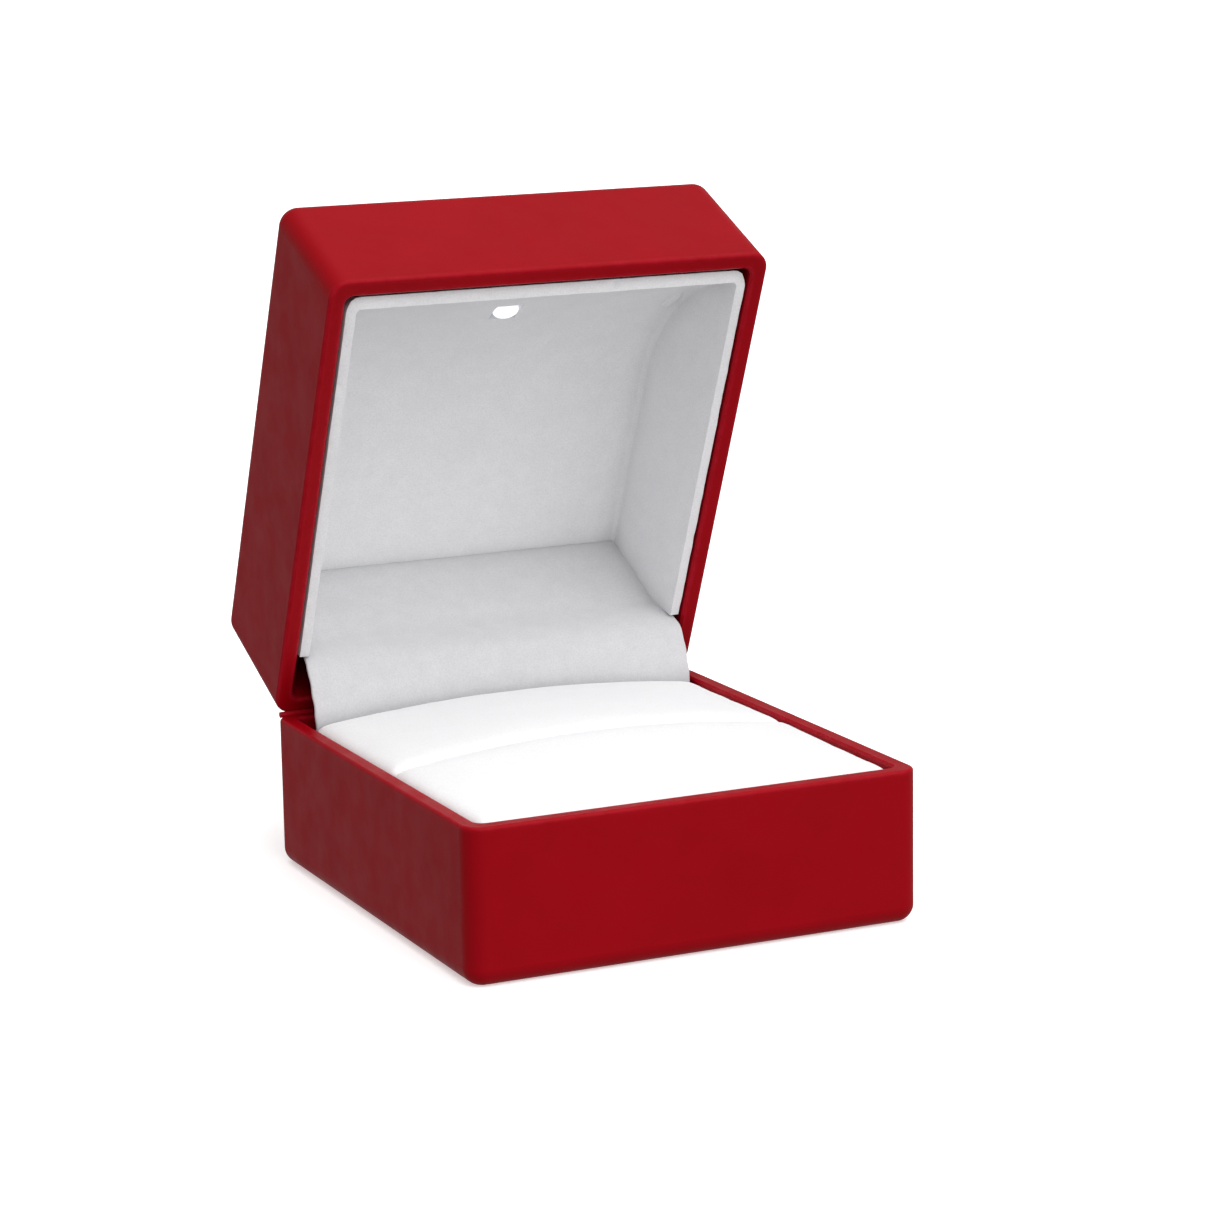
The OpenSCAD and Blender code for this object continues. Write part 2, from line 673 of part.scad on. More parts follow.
module lid_slope_panel() {
    shift = [-slope_back, 0];
    half = in_w / 2 - side_gap;
    color("gainsboro") opened() difference() {
        intersection() {
            extrude_x(2 * half)
                polygon([slope_foot, slope_head, slope_head + shift, slope_foot + shift]);
            // its ends lean in with the side panels
            rotate([90, 0, 0]) linear_extrude(2 * body_d, center = true)
                polygon([[-half, lining_z], [half, lining_z],
                         [half - side_lean, ceiling_z], [side_lean - half, ceiling_z]]);
        }
        on_slope() translate([-window_w / 2, -window_h / 2, -10]) cube([window_w, window_h, 20]);
    }
}

// one side panel on the right: it leans in over its height
module side_panel() {
    foot_in = [joint_gap, 0];
    translate([side_face, 0, lining_z]) rotate([0, -side_tilt, 0]) translate([0, 0, -lining_z])
        extrude_x(side_t, side_t / 2) polygon([slope_foot + foot_in,
            slope_head + foot_in - [0, joint_gap],
            back_head - [joint_gap, joint_gap], back_foot - foot_in, back_rim]);
}

module lid_side_panel_left() {
    color("gainsboro") opened() mirror([1, 0, 0]) side_panel();
}

module lid_side_panel_right() {
    color("gainsboro") opened() side_panel();
}

module lid_back_board() {
    face = (flap_t + joint_gap) * back_out;
    foot = back_foot + face + cloth_bend * back_dir;
    head = back_head + face - 0.4 * back_dir;
    color("tan") opened() extrude_x(in_w - 2 * flap_gap)
        polygon([foot, head, head + back_board_t * [1, 0], foot + back_board_t * [1, 0]]);
}

module lid_hinge_leaf() {
    x = leaf_w / 2 - outer_knuckle_w - knuckle_gap - inner_knuckle_w / 2;
    color("silver") opened() over_axis() leaf([-x, x], inner_knuckle_w, pin_d / 2 + pin_clear);
}

module lid_hinge_screws() {
    color("silver") opened() over_axis() leaf_screws();
}

module lamp_housing() {
    color("#202020") opened() on_slope() translate([0, 0, -panel_t - housing_t - joint_gap]) difference() {
        translate([-housing_size / 2, -housing_size / 2, 0])
            cube([housing_size, housing_size, housing_t]);
        translate([0, lamp_offset, -1]) cylinder(h = 20, d = lamp_d + 2 * fit);
    }
}

module lamp() {
    foot = -panel_t - housing_t;
    straight = lamp_out - foot - lamp_d / 2;
    color("white") opened() on_slope() translate([0, lamp_offset, foot]) {
        cylinder(h = straight, d = lamp_d);
        translate([0, 0, straight]) intersection() {
            sphere(d = lamp_d);
            translate([0, 0, -0.2]) cylinder(h = lamp_d, d = lamp_d + 1);
        }
    }
}

module lamp_board() {
    lower = housing_size / 2 - 0.8;              // kept clear of the lid's ceiling
    color("seagreen") opened() on_slope() translate([-lamp_board_w / 2, -lower, -lamp_board_back])
        cube([lamp_board_w, lower + housing_size / 2, lamp_board_t]);
}

module lamp_resistor() {
    color("#303034") opened() on_slope()
        translate([0, 1.6, -lamp_board_back - joint_gap - 0.3]) cube([2, 1.2, 0.6], center = true);
}

module lid_lead_red() {
    color("crimson") opened() tube(curve(lid_red_route, 4), lead_d, [0.3, 0.3, 1]);
}

module lid_lead_black() {
    color("#202020") opened() tube(curve(lid_black_route, 4), lead_d, [0.3, 0.3, 1]);
}

base_shell();
insert_board();
front_cushion();
rear_cushion();
battery_case();
battery_cover();
button_cells();
battery_contacts();
switch_body();
switch_cap();
switch_terminals();
switch_plunger();
switch_spring();
base_hinge_leaf();
hinge_pin();
base_hinge_screws();
hinge_spring();
hinge_flap();
switch_lead();
base_lead_red();
base_lead_black();
hinge_leads();
lid_shell();
lid_top_panel();
lid_slope_panel();
lid_side_panel_left();
lid_side_panel_right();
lid_back_board();
lid_hinge_leaf();
lid_hinge_screws();
lamp_housing();
lamp();
lamp_board();
lamp_resistor();
lid_lead_red();
lid_lead_black();
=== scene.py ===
"""The looks of a small ring box with a lamp in its lid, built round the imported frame.

Sizes in the dataclasses are in millimetres. The lid's pieces are modelled on the shut
box and then swung open about the hinge pin, because the box rests open.
"""

import logging
import math
import random
from dataclasses import dataclass, field
from enum import Enum
from typing import Callable, Sequence

import bmesh
import bpy
from mathutils import Matrix, Vector


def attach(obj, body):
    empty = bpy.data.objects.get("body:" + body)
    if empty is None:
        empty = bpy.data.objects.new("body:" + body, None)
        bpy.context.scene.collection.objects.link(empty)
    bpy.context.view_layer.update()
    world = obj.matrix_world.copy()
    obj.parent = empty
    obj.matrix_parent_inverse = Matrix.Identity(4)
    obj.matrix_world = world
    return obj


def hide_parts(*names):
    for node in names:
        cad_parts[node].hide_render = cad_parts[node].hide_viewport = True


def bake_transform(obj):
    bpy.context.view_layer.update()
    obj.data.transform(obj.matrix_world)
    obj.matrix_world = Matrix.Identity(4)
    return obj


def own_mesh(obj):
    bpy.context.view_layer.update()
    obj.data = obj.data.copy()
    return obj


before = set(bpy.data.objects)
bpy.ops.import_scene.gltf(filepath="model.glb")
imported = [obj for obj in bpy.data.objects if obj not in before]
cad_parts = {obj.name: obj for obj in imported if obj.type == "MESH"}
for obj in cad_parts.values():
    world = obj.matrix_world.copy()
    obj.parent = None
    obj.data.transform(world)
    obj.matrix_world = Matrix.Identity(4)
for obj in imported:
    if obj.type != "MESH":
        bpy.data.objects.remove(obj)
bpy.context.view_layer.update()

log = logging.getLogger("ring_box")
MM = 0.001
Point = tuple[float, float, float]
Colour = tuple[float, float, float]


class Body(Enum):
    """The bodies of the box that the new pieces ride."""

    BASE = "base"
    LID = "lid"


class Slot(Enum):
    """The material slots of the record."""

    LACQUER = "red_lacquer"
    WHITE_VELVET = "white_velvet"
    GREY_VELVET = "grey_velvet"
    LAMP_LENS = "lamp_lens"
    SPRING_STEEL = "spring_steel"
    RED_INSULATION = "red_insulation"
    BLACK_INSULATION = "black_insulation"


class Side(Enum):
    """The two sides of the box."""

    LEFT = -1
    RIGHT = 1


# ---------------------------------------------------------------- hinge geometry


@dataclass(frozen=True)
class HingeLine:
    """The hinge pin's line and the lid's resting angle."""

    y: float = 32.35
    z: float = 19.65
    open_deg: float = 66.0

    def swing(self, y: float, z: float) -> tuple[float, float]:
        """Move a point of the shut lid to its open place.

        Args:
            y: depth on the shut box.
            z: height on the shut box.

        Returns:
            The depth and height with the lid open.
        """
        c, s = math.cos(math.radians(self.open_deg)), math.sin(math.radians(self.open_deg))
        dy, dz = y - self.y, z - self.z
        return self.y + dy * c + dz * s, self.z - dy * s + dz * c

    def opening(self) -> Matrix:
        """Return the matrix that opens the lid, in metres."""
        pin = Matrix.Translation((0, self.y * MM, self.z * MM))
        return pin @ Matrix.Rotation(math.radians(-self.open_deg), 4, "X") @ pin.inverted()


HINGE = HingeLine()


# ---------------------------------------------------------------- bench tools


def deselect_all() -> None:
    """Leave nothing selected."""
    bpy.ops.object.select_all(action="DESELECT")


def take(piece: bpy.types.Object) -> None:
    """Select one piece and make it the active one."""
    deselect_all()
    piece.select_set(True)
    bpy.context.view_layer.objects.active = piece


def set_place(piece: bpy.types.Object, place: Matrix | None = None) -> None:
    """Write a piece's place, turn and scale into its mesh.

    Args:
        piece: the piece, modelled at its own local place.
        place: a further move to write into the mesh.
    """
    take(piece)
    if place is not None:
        piece.matrix_world = place @ piece.matrix_world
    bpy.ops.object.transform_apply(location=True, rotation=True, scale=True)


def begin(name: str, size: Sequence[float]) -> bpy.types.Object:
    """Name the newest primitive and bring it to its size.

    Args:
        name: the piece's name.
        size: its width, depth and height, in millimetres.

    Returns:
        The piece, with the size written into its mesh.
    """
    piece = bpy.context.active_object
    piece.name = piece.data.name = name
    piece.scale = [v * MM for v in size]
    set_place(piece)
    return piece


def select_faces(piece: bpy.types.Object, wanted: Callable[[Vector, Vector], bool]) -> int:
    """Select, in edit mode, the faces that a test accepts.

    Args:
        piece: the piece in edit mode.
        wanted: takes a face's centre and normal.

    Returns:
        How many faces are selected.
    """
    mesh = bmesh.from_edit_mesh(piece.data)
    for part in (*mesh.verts, *mesh.edges, *mesh.faces):
        part.select = False
    found = [f for f in mesh.faces if wanted(f.calc_center_median(), f.normal)]
    for face in found:
        face.select_set(True)
    bmesh.update_edit_mesh(piece.data)
    return len(found)


def select_edges(piece: bpy.types.Object, wanted: Callable[[bmesh.types.BMEdge], bool]) -> None:
    """Select, in edit mode, the edges that a test accepts.

    Args:
        piece: the piece in edit mode.
        wanted: takes an edge.
    """
    bpy.ops.mesh.select_mode(type="EDGE")
    mesh = bmesh.from_edit_mesh(piece.data)
    for part in (*mesh.verts, *mesh.edges, *mesh.faces):
        part.select = False
    for edge in [e for e in mesh.edges if wanted(e)]:
        edge.select_set(True)
    bmesh.update_edit_mesh(piece.data)


def cut(point: Sequence[float], normal: Sequence[float], clear: bool = True,
        fill: bool = False) -> None:
    """Bisect the whole mesh in edit mode.

    Args:
        point: a point of the cutting plane.
        normal: the plane's normal, towards the side that goes.
        clear: whether that side is removed.
        fill: whether the cut is closed with a face.
    """
    bpy.ops.mesh.select_all(action="SELECT")
    bpy.ops.mesh.bisect(plane_co=point, plane_no=Vector(normal).normalized(),
                        clear_outer=clear, use_fill=fill)


def apply_modifier(piece: bpy.types.Object, kind: str, **settings: object) -> None:
    """Add one modifier to a piece, set it and apply it.

    Args:
        piece: the piece.
        kind: Blender's name for the modifier's type.
        settings: the modifier's properties.
    """
    take(piece)
    modifier = piece.modifiers.new(kind.title(), kind)
    for key, value in settings.items():
        setattr(modifier, key, value)
    bpy.ops.object.modifier_apply(modifier=modifier.name)


def weld(piece: bpy.types.Object, distance: float = 1e-6) -> None:
    """Merge a piece's double points and turn its faces outwards.

    Args:
        piece: the piece.
        distance: how near two points are to be one, in metres.
    """
    take(piece)
    bpy.ops.object.mode_set(mode="EDIT")
    bpy.ops.mesh.select_all(action="SELECT")
    bpy.ops.mesh.remove_doubles(threshold=distance)
    bpy.ops.mesh.normals_make_consistent(inside=False)
    bpy.ops.object.mode_set(mode="OBJECT")


def smooth(piece: bpy.types.Object, angle: float = 50.0) -> None:
    """Shade a piece smooth, except over edges sharper than an angle in degrees."""
    take(piece)
    bpy.ops.object.shade_smooth_by_angle(angle=math.radians(angle))


def ripple(piece: bpy.types.Object, name: str, grain: float, height: float) -> None:
    """Displace a piece's points by a soft cloud pattern along their normals.

    Args:
        piece: the piece, fine enough to carry the pattern.
        name: the pattern's name.
        grain: size of the pattern, in millimetres.
        height: the largest rise and fall together, in millimetres.
    """
    clouds = bpy.data.textures.new(name, "CLOUDS")
    clouds.noise_scale = grain * MM
    clouds.noise_depth = 2
    apply_modifier(piece, "DISPLACE", texture=clouds, texture_coords="LOCAL",
                   strength=height * MM, mid_level=0.5)


def tube(name: str, route: Sequence[Point], diameter: float, sides: int = 3) -> bpy.types.Object:
    """Make a round wire along a route.

    Args:
        name: the piece's name.
        route: the points of its centreline, in millimetres.
        diameter: the wire's diameter, in millimetres.
        sides: the curve's bevel resolution.

    Returns:
        The wire as a closed mesh.
    """
    line = bpy.data.curves.new(name, "CURVE")
    line.dimensions = "3D"
    line.bevel_depth = diameter * MM / 2
    line.bevel_resolution = sides
    line.use_fill_caps = True
    spline = line.splines.new("POLY")
    spline.points.add(len(route) - 1)
    for at, point in zip(spline.points, route):
        at.co = (*[v * MM for v in point], 1.0)
    piece = bpy.data.objects.new(name, line)
    bpy.context.scene.collection.objects.link(piece)
    take(piece)
    bpy.ops.object.convert(target="MESH")
    piece = bpy.context.view_layer.objects.active
    weld(piece, 1e-7)
    smooth(piece)
    return piece


def through(points: Sequence[Sequence[float]], steps: int) -> list[tuple[float, ...]]:
    """Draw a smooth line through points.

    Args:
        points: the points to pass.
        steps: how many pieces the line has between two of them.

    Returns:
        The line's points.
    """
    last = len(points) - 1
    line = []
    for i in range(last):
        a, b, c, d = (points[max(i - 1, 0)], points[i], points[i + 1], points[min(i + 2, last)])
        for s in range(steps):
            t = s / steps
            line.append(tuple(
                0.5 * (2 * q + (r - p) * t + (2 * p - 5 * q + 4 * r - w) * t * t
                       + (3 * q - p - 3 * r + w) * t ** 3)
                for p, q, r, w in zip(a, b, c, d)))
    return [*line, tuple(points[last])]


# ---------------------------------------------------------------- finishes


class Paint:
    """A node tree under one Principled shader, with short ways to add to it."""

    def __init__(self, name: str) -> None:
        """Start a material.

        Args:
            name: the material's name.
        """
        self.material = bpy.data.materials.new(name)
        self.material.use_nodes = True
        self.tree = self.material.node_tree
        self.shader = self.tree.nodes["Principled BSDF"]
        self.coord = self.add("ShaderNodeTexCoord").outputs["Object"]

    def add(self, kind: str, **values: object) -> bpy.types.Node:
        """Add a node and set its properties.

        Args:
            kind: the node's type.
            values: properties of the node.

        Returns:
            The node.
        """
        node = self.tree.nodes.new(kind)
        for key, value in values.items():
            setattr(node, key, value)
        return node

    def link(self, out: bpy.types.NodeSocket, into: bpy.types.NodeSocket) -> None:
        """Join two sockets."""
        self.tree.links.new(out, into)

    def stretch(self, scale: Point) -> bpy.types.NodeSocket:
        """Return the object coordinates scaled by three factors."""
        mapping = self.add("ShaderNodeMapping")
        mapping.inputs["Scale"].default_value = scale
        self.link(self.coord, mapping.inputs["Vector"])
        return mapping.outputs["Vector"]

    def noise(self, grain: float, detail: float = 3.0, rough: float = 0.55,
              vector: bpy.types.NodeSocket | None = None) -> bpy.types.NodeSocket:
        """Add a noise pattern.

        Args:
            grain: size of its features, in millimetres.
            detail: how many finer layers it has.
            rough: how strong the finer layers are.
            vector: its coordinates, or the object's.

        Returns:
            The pattern, from 0 to 1.
        """
        node = self.add("ShaderNodeTexNoise")
        node.inputs["Scale"].default_value = 1 / (grain * MM)
        node.inputs["Detail"].default_value = detail
        node.inputs["Roughness"].default_value = rough
        self.link(vector or self.coord, node.inputs["Vector"])
        return node.outputs["Fac"]

    def spots(self, grain: float, radius: float, share: float) -> bpy.types.NodeSocket:
        """Add rare small dots.

        Args:
            grain: size of the cells that may hold a dot, in millimetres.
            radius: a dot's radius, in millimetres.
            share: the share of cells with a dot.

        Returns:
            1 in a dot and 0 outside.
        """
        cells = self.add("ShaderNodeTexVoronoi")
        cells.inputs["Scale"].default_value = 1 / (grain * MM)
        self.link(self.coord, cells.inputs["Vector"])
        near = self.math("LESS_THAN", cells.outputs["Distance"], radius / grain)
        split = self.add("ShaderNodeSeparateColor")
        self.link(cells.outputs["Color"], split.inputs["Color"])
        rare = self.math("LESS_THAN", split.outputs["Red"], share)
        return self.math("MULTIPLY", near, rare)

    def math(self, operation: str, first: bpy.types.NodeSocket,
             second: bpy.types.NodeSocket | float) -> bpy.types.NodeSocket:
        """Add a sum of two values.

        Args:
            operation: Blender's name for it.
            first: the first value.
            second: the second value, linked or fixed.

        Returns:
            The result.
        """
        node = self.add("ShaderNodeMath", operation=operation)
        self.link(first, node.inputs[0])
        if isinstance(second, bpy.types.NodeSocket):
            self.link(second, node.inputs[1])
        else:
            node.inputs[1].default_value = second
        return node.outputs[0]

    def levels(self, value: bpy.types.NodeSocket, low: float, high: float,
               start: float = 0.35, end: float = 0.65) -> bpy.types.NodeSocket:
        """Spread a pattern over a range.

        Args:
            value: the pattern.
            low: the result at start and below.
            high: the result at end and above.
            start: the pattern's value for low.
            end: the pattern's value for high.

        Returns:
            The spread value.
        """
        node = self.add("ShaderNodeMapRange")
        for socket, number in zip(("From Min", "From Max", "To Min", "To Max"),
                                  (start, end, low, high)):
            node.inputs[socket].default_value = number
        self.link(value, node.inputs["Value"])
        return node.outputs["Result"]

    def mix(self, factor: bpy.types.NodeSocket, a: Colour | bpy.types.NodeSocket,
            b: Colour | bpy.types.NodeSocket) -> bpy.types.NodeSocket:
        """Mix two colours.

        Args:
            factor: 0 for the first and 1 for the second.
            a: the first colour, fixed or linked.
            b: the second colour, fixed or linked.

        Returns:
            The mixed colour.
        """
        node = self.add("ShaderNodeMix", data_type="RGBA")
        self.link(factor, node.inputs[0])
        for index, colour in ((6, a), (7, b)):
            if isinstance(colour, bpy.types.NodeSocket):
                self.link(colour, node.inputs[index])
            else:
                node.inputs[index].default_value = (*colour, 1)
        return node.outputs[2]

    def relief(self, *layers: tuple[bpy.types.NodeSocket, float, float]) -> None:
        """Give the surface a fine relief.

        Args:
            layers: a pattern, its height in millimetres and its strength, for each layer.
        """
        below = None
        for height, depth, strength in layers:
            bump = self.add("ShaderNodeBump")
            bump.inputs["Distance"].default_value = depth * MM
            bump.inputs["Strength"].default_value = strength
            self.link(height, bump.inputs["Height"])
            if below:
                self.link(below, bump.inputs["Normal"])
            below = bump.outputs["Normal"]
        self.link(below, self.shader.inputs["Normal"])

    def set(self, **values: object) -> None:
        """Set sockets of the shader; an underscore in a name stands for a space."""
        for key, value in values.items():
            socket = self.shader.inputs[key.replace("_", " ")]
            if isinstance(value, bpy.types.NodeSocket):
                self.link(value, socket)
            else:
                socket.default_value = value


@dataclass(frozen=True)
class Lacquer:
    """Satin lacquer sprayed on moulded plastic, with a painted highlight on its rounded edges."""

    name: str = "satin_red_lacquer"
    body: Colour = (0.325, 0.0012, 0.0060)
    deep: Colour = (0.295, 0.0012, 0.0052)
    # Painted highlight: the lighter pinkish red laid on the rounded edges.
    painted_edge_highlight: Colour = (0.47, 0.011, 0.030)
    dust: Colour = (0.50, 0.30, 0.30)
    roughness: float = 0.40
    cloud: float = 9.0
    speck: float = 0.16
    speck_share: float = 0.45
    edge: float = 0.9
    peel: float = 0.9

    def material(self) -> bpy.types.Material:
        """Return the lacquer's material."""
        paint = Paint(self.name)
        cloudy = paint.levels(paint.noise(self.cloud, 3.0), 0.0, 1.0, 0.3, 0.7)
        speckle = paint.levels(paint.noise(self.speck, 2.0), 0.0, 1.0, 0.35, 0.7)
        flake = paint.math("MULTIPLY", speckle, self.speck_share)
        tone = paint.mix(cloudy, self.body, self.deep)
        tone = paint.mix(flake, tone, self.deep)
        # Painted highlight: where the bevel normal turns away from the face's normal, the red goes
        # lighter and pinker, made patchy by a noise.
        bevel = paint.add("ShaderNodeBevel", samples=4)
        bevel.inputs["Radius"].default_value = self.edge * MM
        flat = paint.add("ShaderNodeNewGeometry")
        turn = paint.add("ShaderNodeVectorMath", operation="DOT_PRODUCT")
        paint.link(bevel.outputs["Normal"], turn.inputs[0])
        paint.link(flat.outputs["Normal"], turn.inputs[1])
        edge = paint.levels(turn.outputs["Value"], 0.75, 0.0, 0.90, 0.999)
        edge_highlight_and_part_finishes = paint.math("MULTIPLY", edge, paint.levels(paint.noise(1.6, 4.0), 0.2, 1.0))
        tone = paint.mix(edge_highlight_and_part_finishes, tone, self.painted_edge_highlight)
        tone = paint.mix(paint.spots(2.4, 0.05, 0.07), tone, self.dust)
        gloss = paint.levels(paint.noise(5.0, 4.0), self.roughness - 0.05, self.roughness + 0.07)
        paint.set(Base_Color=tone, Roughness=gloss, Specular_IOR_Level=0.06)
        paint.relief((paint.noise(self.peel, 2.0), 0.010, 0.35),
                     (paint.noise(0.12, 2.0), 0.004, 0.30))
        return paint.material


@dataclass(frozen=True)
class Velvet:
    """Short flocked velvet with a brushed nap, and painted shade in its creases."""

    name: str
    light: Colour
    dark: Colour
    patch: float = 3.2
    specks: bool = False
    # Painted shade: how dark the creases and corners are painted, and how far the darkening
    # reaches.
    crease_shade: float = 0.55
    shade_reach: float = 3.5
    pile: float = 0.22
    fibre: float = 0.09
    speck: Colour = (0.05, 0.045, 0.045)

    def material(self) -> bpy.types.Material:
        """Return the velvet's material."""
        paint = Paint(self.name)
        nap = paint.noise(self.patch, 4.0, 0.6)
        pile = paint.noise(self.pile, 3.0, 0.7)
        fibre = paint.noise(self.fibre, 2.0, 0.6, paint.stretch((1.0, 0.45, 0.6)))
        brushed = paint.levels(nap, 0.0, 0.75, 0.36, 0.64)
        grain = paint.levels(pile, 0.0, 0.55, 0.40, 0.72)
        tone = paint.mix(brushed, self.light, self.dark)
        deep = tuple(v * 0.80 for v in self.dark)
        tone = paint.mix(grain, tone, deep)
        # Painted shade: ambient occlusion darkens the velvet towards a deep grey in creases and
        # corners.
        crease_shade = paint.add("ShaderNodeAmbientOcclusion", samples=4)
        crease_shade.inputs["Distance"].default_value = self.shade_reach * MM
        depth = paint.levels(crease_shade.outputs["AO"], self.crease_shade, 0.0, 0.30, 0.85)
        tone = paint.mix(depth, tone, tuple(v * 0.45 for v in self.dark))
        if self.specks:
            tone = paint.mix(paint.spots(9.0, 0.13, 0.10), tone, self.speck)
        paint.set(Base_Color=tone, Roughness=0.94, Specular_IOR_Level=0.12,
                  Sheen_Weight=0.80, Sheen_Roughness=0.55, Sheen_Tint=(0.98, 0.98, 1.0, 1))
        paint.relief((nap, 0.10, 0.20), (pile, 0.07, 0.55), (fibre, 0.03, 0.45))
        return paint.material


@dataclass(frozen=True)
class Metal:
    """Stamped, turned or drawn metal."""

    name: str
    colour: Colour
    roughness: float
    brush: Point = (0.15, 1.0, 1.0)
    tarnish: Colour = (0.28, 0.26, 0.23)

    def material(self) -> bpy.types.Material:
        """Return the metal's material."""
        paint = Paint(self.name)
        drawn = paint.noise(0.10, 3.0, 0.6, paint.stretch(self.brush))
        stain = paint.levels(paint.noise(1.8, 4.0), 0.0, 0.35, 0.45, 0.75)
        tone = paint.mix(stain, self.colour, self.tarnish)
        paint.set(Base_Color=tone, Metallic=1.0,
                  Roughness=paint.levels(drawn, self.roughness - 0.08, self.roughness + 0.12))
        paint.relief((drawn, 0.004, 0.35))
        return paint.material


@dataclass(frozen=True)
class Moulded:
    """Moulded plastic, or the insulation of a lead."""

    name: str
    colour: Colour
    roughness: float = 0.45
    texture: float = 0.25

    def material(self) -> bpy.types.Material:
        """Return the plastic's material."""
        paint = Paint(self.name)
        tone = paint.mix(paint.levels(paint.noise(2.0, 3.0), 0.0, 1.0), self.colour,
                         tuple(v * 0.82 for v in self.colour))
        spark = paint.noise(self.texture, 2.0)
        paint.set(Base_Color=tone, Specular_IOR_Level=0.4,
                  Roughness=paint.levels(spark, self.roughness - 0.06, self.roughness + 0.08))
        paint.relief((spark, 0.008, 0.4))
        return paint.material


@dataclass(frozen=True)
class Greyboard:
    """Pressed grey card."""

    name: str = "pressed_greyboard"

    def material(self) -> bpy.types.Material:
        """Return the card's material."""
        paint = Paint(self.name)
        pulp = paint.noise(0.35, 4.0, 0.7, paint.stretch((0.5, 1.0, 1.0)))
        tone = paint.mix(paint.levels(pulp, 0.0, 1.0), (0.36, 0.33, 0.29), (0.24, 0.22, 0.19))
        tone = paint.mix(paint.spots(1.6, 0.12, 0.35), tone, (0.13, 0.12, 0.11))
        paint.set(Base_Color=tone, Roughness=0.92, Specular_IOR_Level=0.2)
        paint.relief((pulp, 0.03, 0.5))
        return paint.material


@dataclass(frozen=True)
class SolderMask:
    """The lamp's green circuit board with its tracks."""

    name: str = "green_solder_mask"

    def material(self) -> bpy.types.Material:
        """Return the board's material."""
        paint = Paint(self.name)
        wave = paint.add("ShaderNodeTexWave", wave_type="BANDS", bands_direction="X")
        wave.inputs["Scale"].default_value = 240.0
        wave.inputs["Distortion"].default_value = 1.2
        paint.link(paint.coord, wave.inputs["Vector"])
        track = paint.levels(wave.outputs["Fac"], 0.0, 1.0, 0.62, 0.70)
        weave = paint.noise(0.25, 2.0)
        tone = paint.mix(track, (0.010, 0.085, 0.040), (0.022, 0.155, 0.070))
        tone = paint.mix(paint.levels(weave, 0.0, 0.3), tone, (0.008, 0.050, 0.025))
        paint.set(Base_Color=tone, Roughness=paint.levels(weave, 0.28, 0.40))
        paint.relief((track, 0.03, 0.5))
        return paint.material


@dataclass(frozen=True)
class LampLens:
    """The lamp's milky dome, lit from inside."""

    name: str = "lit_lens"
    glow: float = 0.7

    def material(self) -> bpy.types.Material:
        """Return the lens's material."""
        paint = Paint(self.name)
        milky = paint.levels(paint.noise(0.7, 2.0), 0.0, 1.0)
        tone = paint.mix(milky, (0.95, 0.96, 1.0), (0.88, 0.90, 0.95))
        paint.set(Base_Color=tone, Roughness=0.18, Emission_Color=(0.95, 0.97, 1.0, 1),
                  Emission_Strength=self.glow, Coat_Weight=0.4, Coat_Roughness=0.08)
        paint.relief((milky, 0.01, 0.2))
        return paint.material


@dataclass
class Finishes:
    """Every finish of the box, made once."""

    lacquer: bpy.types.Material = field(default_factory=Lacquer().material)
    pad_velvet: bpy.types.Material = field(default_factory=Velvet(
        "white_flock", (0.97, 0.97, 0.972), (0.94, 0.941, 0.945), 4.5, crease_shade=0.05).material)
    # Painted light: the same grey velvet as the hinge cloth, but this copy is painted brighter to
    # stand in for light bounced up into the lid's hollow.
    lining_velvet_painted_brighter: bpy.types.Material = field(default_factory=Velvet(
        "grey_flock", (0.87, 0.87, 0.885), (0.825, 0.83, 0.845)).material)
    flap_velvet: bpy.types.Material = field(default_factory=Velvet(
        "grey_flock_cloth", (0.68, 0.68, 0.695), (0.63, 0.63, 0.645), 2.2, True).material)
    steel: bpy.types.Material = field(default_factory=Metal(
        "zinced_steel", (0.62, 0.62, 0.63), 0.32).material)
    pin_steel: bpy.types.Material = field(default_factory=Metal(
        "bright_steel", (0.70, 0.70, 0.71), 0.22, (1.0, 0.2, 0.2)).material)
    spring: bpy.types.Material = field(default_factory=Metal(
        "spring_wire", (0.42, 0.41, 0.40), 0.28, (1.0, 1.0, 1.0)).material)
    brass: bpy.types.Material = field(default_factory=Metal(
        "contact_strip", (0.72, 0.50, 0.20), 0.30, (1.0, 0.2, 1.0), (0.35, 0.20, 0.08)).material)
    cell: bpy.types.Material = field(default_factory=Metal(
        "cell_can", (0.66, 0.66, 0.67), 0.24, (1.0, 1.0, 0.3)).material)
    black_plastic: bpy.types.Material = field(default_factory=Moulded(
        "black_moulding", (0.028, 0.028, 0.031), 0.42).material)
    ivory_plastic: bpy.types.Material = field(default_factory=Moulded(
        "ivory_moulding", (0.74, 0.68, 0.52), 0.36).material)
    chip: bpy.types.Material = field(default_factory=Moulded(
        "resistor_body", (0.04, 0.04, 0.045), 0.30, 0.15).material)
    red_lead: bpy.types.Material = field(default_factory=Moulded(
        "red_sleeve", (0.52, 0.015, 0.015), 0.38).material)
    black_lead: bpy.types.Material = field(default_factory=Moulded(
        "black_sleeve", (0.02, 0.02, 0.022), 0.38).material)
    card: bpy.types.Material = field(default_factory=Greyboard().material)
    board: bpy.types.Material = field(default_factory=SolderMask().material)
    lens: bpy.types.Material = field(default_factory=LampLens().material)


def dress(piece: bpy.types.Object, material: bpy.types.Material) -> None:
    """Give a new piece its one material."""
    piece.data.materials.clear()
    piece.data.materials.append(material)


def dress_node(node: str, material: bpy.types.Material) -> None:
    """Give a piece of the frame its material, in every one of its slots.

    Args:
        node: the name of the frame's piece.
        material: the finish.
    """
    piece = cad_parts[node]
    if not piece.material_slots:
        piece.data.materials.append(material)
    for place in piece.material_slots:
        place.material = material
    log.info("dressed %s in %s", node, material.name)


# ---------------------------------------------------------------- shells and small parts


